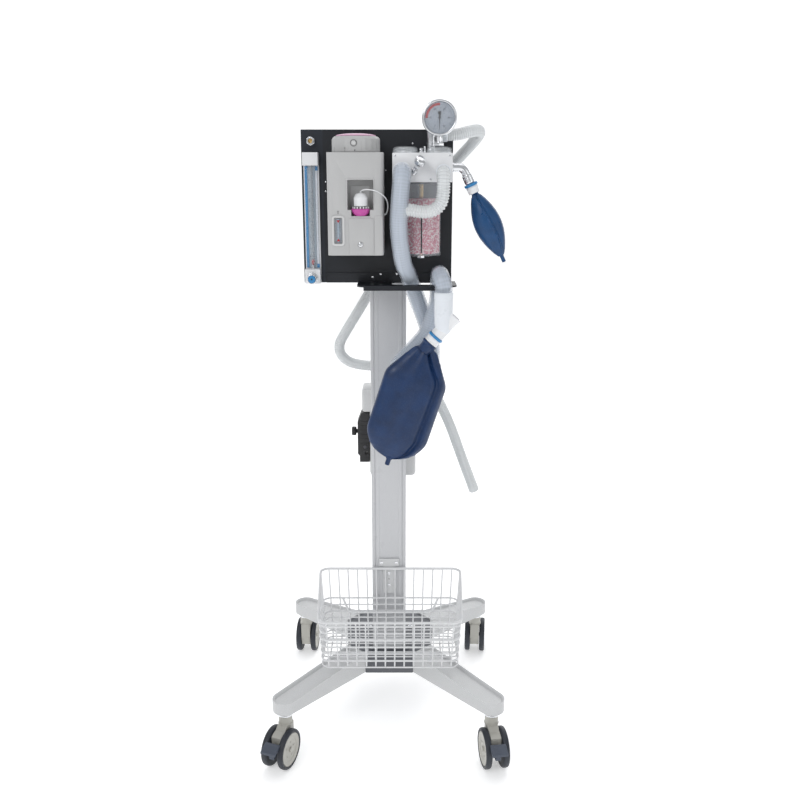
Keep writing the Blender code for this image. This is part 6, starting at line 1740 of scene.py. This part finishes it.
def make_gas_knob():
    """Chrome fresh gas knob: slanted stem and a knurled disc with a domed end."""
    head = Box("absorber_head")
    tilt = np.array([0.42, -0.6, 0.68])
    tilt /= np.linalg.norm(tilt)
    foot = np.array([0.046, head.low[1] + 0.008, 1.1455])
    at = towards(tilt, foot)
    stem = turned([(0, 0.0083), (0.0036, 0.0083), (0.0036, 0.015), (0.003, 0.0156), (0.003, 0.022),
        (0, 0.0222)], 0.0004, at, 32)
    disc = turned([(0, 0.0218), (0.0088, 0.0222), (0.0099, 0.0238), (0.0099, 0.031), (0.0088, 0.0325),
        (0.005, 0.0335), (0, 0.0336)], 0.0007, at, 120, wavy(24, 0.035, 0.0314, 0.0232, 0.8))
    moving("fresh_gas_knob", [(stem, "turned"), (disc, "chrome")], "chrome")
    sleeve = turned([(0, -0.0008), (0.0064, -0.0006), (0.0064, 0.001), (0.0056, 0.0014), (0.0056, 0.008),
        (0, 0.008)], 0.0004, at, 36)
    trim("fresh_gas_sleeve", [(sleeve, "turned")], "chrome")


# ---------------------------------------------------------------- stage


def make_stage():
    """Pale floor that rises behind in one smooth sweep, soft lights, and the camera."""
    t = np.linspace(0, TURN / 4, 24)
    bend, back = 2.0, 3.5
    run = np.concatenate([[(-14.0, 0.0), (-2.0, 0.0)], np.column_stack([back + bend * np.sin(t),
        bend * (1 - np.cos(t))]), [(back + bend, 12.0)]])
    x = np.linspace(-16, 16, 9)
    points = np.stack([np.stack([x, np.full(9, y), np.full(9, z)], axis=-1) for y, z in run])
    shape = grid(points, around=False)
    mesh = bpy.data.meshes.new("floor")
    mesh.from_pydata(shape[0].tolist(), [], shape[1])
    mesh.shade_smooth()
    floor = bpy.data.objects.new("floor", mesh)
    bpy.context.scene.collection.objects.link(floor)
    f = Finish("pale floor")
    f.link(f.ramp(f.noise(0.6, 2.0), (0.93, 0.93, 0.935), (0.95, 0.95, 0.95)), "Base Color")
    mesh.materials.append(f.set(Roughness=0.85, Specular_IOR_Level=0.2, Emission_Color=(1, 1, 1, 1),
        Emission_Strength=0.38).material)

    world = bpy.data.worlds.new("studio")
    bpy.context.scene.world = world
    world.use_nodes = True
    sky = world.node_tree.nodes["Background"]
    sky.inputs[0].default_value = (0.96, 0.98, 1.0, 1.0)
    sky.inputs[1].default_value = 0.5
    for name, at, power, size in LIGHTS:
        lamp = bpy.data.lights.new(name, "AREA")
        lamp.energy, lamp.size = power, size
        holder = bpy.data.objects.new(name, lamp)
        holder.location = at
        aim = Vector((0, -0.05, 0.75)) - holder.location
        holder.rotation_euler = aim.to_track_quat("-Z", "Y").to_euler()
        bpy.context.scene.collection.objects.link(holder)
    bpy.context.scene.view_settings.view_transform = "Standard"

    lens = bpy.data.cameras.new("camera")
    lens.lens, lens.sensor_width, lens.shift_y = CAMERA_LENS, 36.0, 0.02
    lens.clip_start, lens.clip_end = 0.05, 60.0
    camera = bpy.data.objects.new("camera", lens)
    camera.location = CAMERA_AT
    camera.rotation_euler = (math.radians(90 - CAMERA_TILT), 0, 0)
    bpy.context.scene.collection.objects.link(camera)
    bpy.context.scene.camera = camera


# ---------------------------------------------------------------- operators


class ANESTHESIA_OT_stage(bpy.types.Operator):
    """Make the floor, the lights, the camera and all finishes"""

    bl_idname = "anesthesia.stage"
    bl_label = "Stage and finishes"

    def execute(self, context):
        make_finishes(context.scene.anesthesia_colours)
        make_stage()
        return {"FINISHED"}


class ANESTHESIA_OT_hoses(bpy.types.Operator):
    bl_idname = "anesthesia.hoses"
    bl_label = "Hoses and tether"

    def execute(self, context):
        connector = make_connector()
        wall, path, going = make_breathing_hose()
        wall, path, going = make_expiratory_hose()
        wall, path, going = make_waste_hose()
        wall, path, going = make_tether()
        return {"FINISHED"}


class ANESTHESIA_OT_bags(bpy.types.Operator):
    """Make the two breathing bags and the swivel arm"""

    bl_idname = "anesthesia.bags"
    bl_label = "Bags and arm"

    def execute(self, context):
        make_large_bag()
        make_bag_arm()
        make_small_bag()
        return {"FINISHED"}


class ANESTHESIA_OT_base(bpy.types.Operator):
    """Make the hub, the legs and the four casters"""

    bl_idname = "anesthesia.base"
    bl_label = "Base and casters"

    def execute(self, context):
        make_base_pieces()
        for corner, yaw in CASTER_YAW.items():
            make_caster(corner, yaw)
        return {"FINISHED"}


class ANESTHESIA_OT_column(bpy.types.Operator):
    """Make the column, the wire basket and the pieces behind the column"""

    bl_idname = "anesthesia.column"
    bl_label = "Column and basket"

    def execute(self, context):
        make_column_pieces()
        make_basket_pieces()
        make_rear_pieces()
        return {"FINISHED"}


class ANESTHESIA_OT_panel(bpy.types.Operator):
    """Make the panel, its mount, the hose shelf, the gas inlet and the flowmeter"""

    bl_idname = "anesthesia.panel"
    bl_label = "Panel and flowmeter"

    def execute(self, context):
        make_panel_pieces()
        make_flowmeter_pieces()
        return {"FINISHED"}


class ANESTHESIA_OT_vaporizer(bpy.types.Operator):
    """Make the vaporizer with its dial, filler and sight glass"""

    bl_idname = "anesthesia.vaporizer"
    bl_label = "Vaporizer"

    def execute(self, context):
        make_vaporizer_pieces()
        return {"FINISHED"}


class ANESTHESIA_OT_absorber(bpy.types.Operator):
    """Make the absorber head, canister, gauge, relief valve and fresh gas knob"""

    bl_idname = "anesthesia.absorber"
    bl_label = "Absorber and gauge"

    def execute(self, context):
        make_absorber_pieces()
        make_canister_pieces(sizes().granule)
        make_gauge_pieces()
        make_relief_pieces()
        make_gas_knob()
        return {"FINISHED"}


OPERATORS = (ANESTHESIA_OT_stage, ANESTHESIA_OT_hoses, ANESTHESIA_OT_bags, ANESTHESIA_OT_base,
    ANESTHESIA_OT_column, ANESTHESIA_OT_panel, ANESTHESIA_OT_vaporizer, ANESTHESIA_OT_absorber)


class ANESTHESIA_PT_sidebar(bpy.types.Panel):
    """Lists the sizes, the colours and the operators"""

    bl_idname = "ANESTHESIA_PT_sidebar"
    bl_label = "Anesthesia machine"
    bl_space_type = "VIEW_3D"
    bl_region_type = "UI"
    bl_category = "Anesthesia"

    def draw(self, context):
        for group in (context.scene.anesthesia_sizes, context.scene.anesthesia_colours):
            box = self.layout.box()
            for key in group.__class__.__annotations__:
                box.prop(group, key)
        for operator in OPERATORS:
            self.layout.operator(operator.bl_idname)


CLASSES = (AnesthesiaSizes, AnesthesiaColours) + OPERATORS + (ANESTHESIA_PT_sidebar,)


def register():
    """Registers the classes and hangs the two property groups on the scene."""
    for cls in CLASSES:
        bpy.utils.register_class(cls)
    bpy.types.Scene.anesthesia_sizes = bpy.props.PointerProperty(type=AnesthesiaSizes)
    bpy.types.Scene.anesthesia_colours = bpy.props.PointerProperty(type=AnesthesiaColours)


def unregister():
    """Takes back what register did."""
    del bpy.types.Scene.anesthesia_colours
    del bpy.types.Scene.anesthesia_sizes
    for cls in reversed(CLASSES):
        bpy.utils.unregister_class(cls)


def main():
    """Registers the add-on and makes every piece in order."""
    register()
    for operator in OPERATORS:
        group, name = operator.bl_idname.split(".")
        getattr(getattr(bpy.ops, group), name)()
    bpy.context.view_layer.update()


if __name__ == "__main__":
    main()
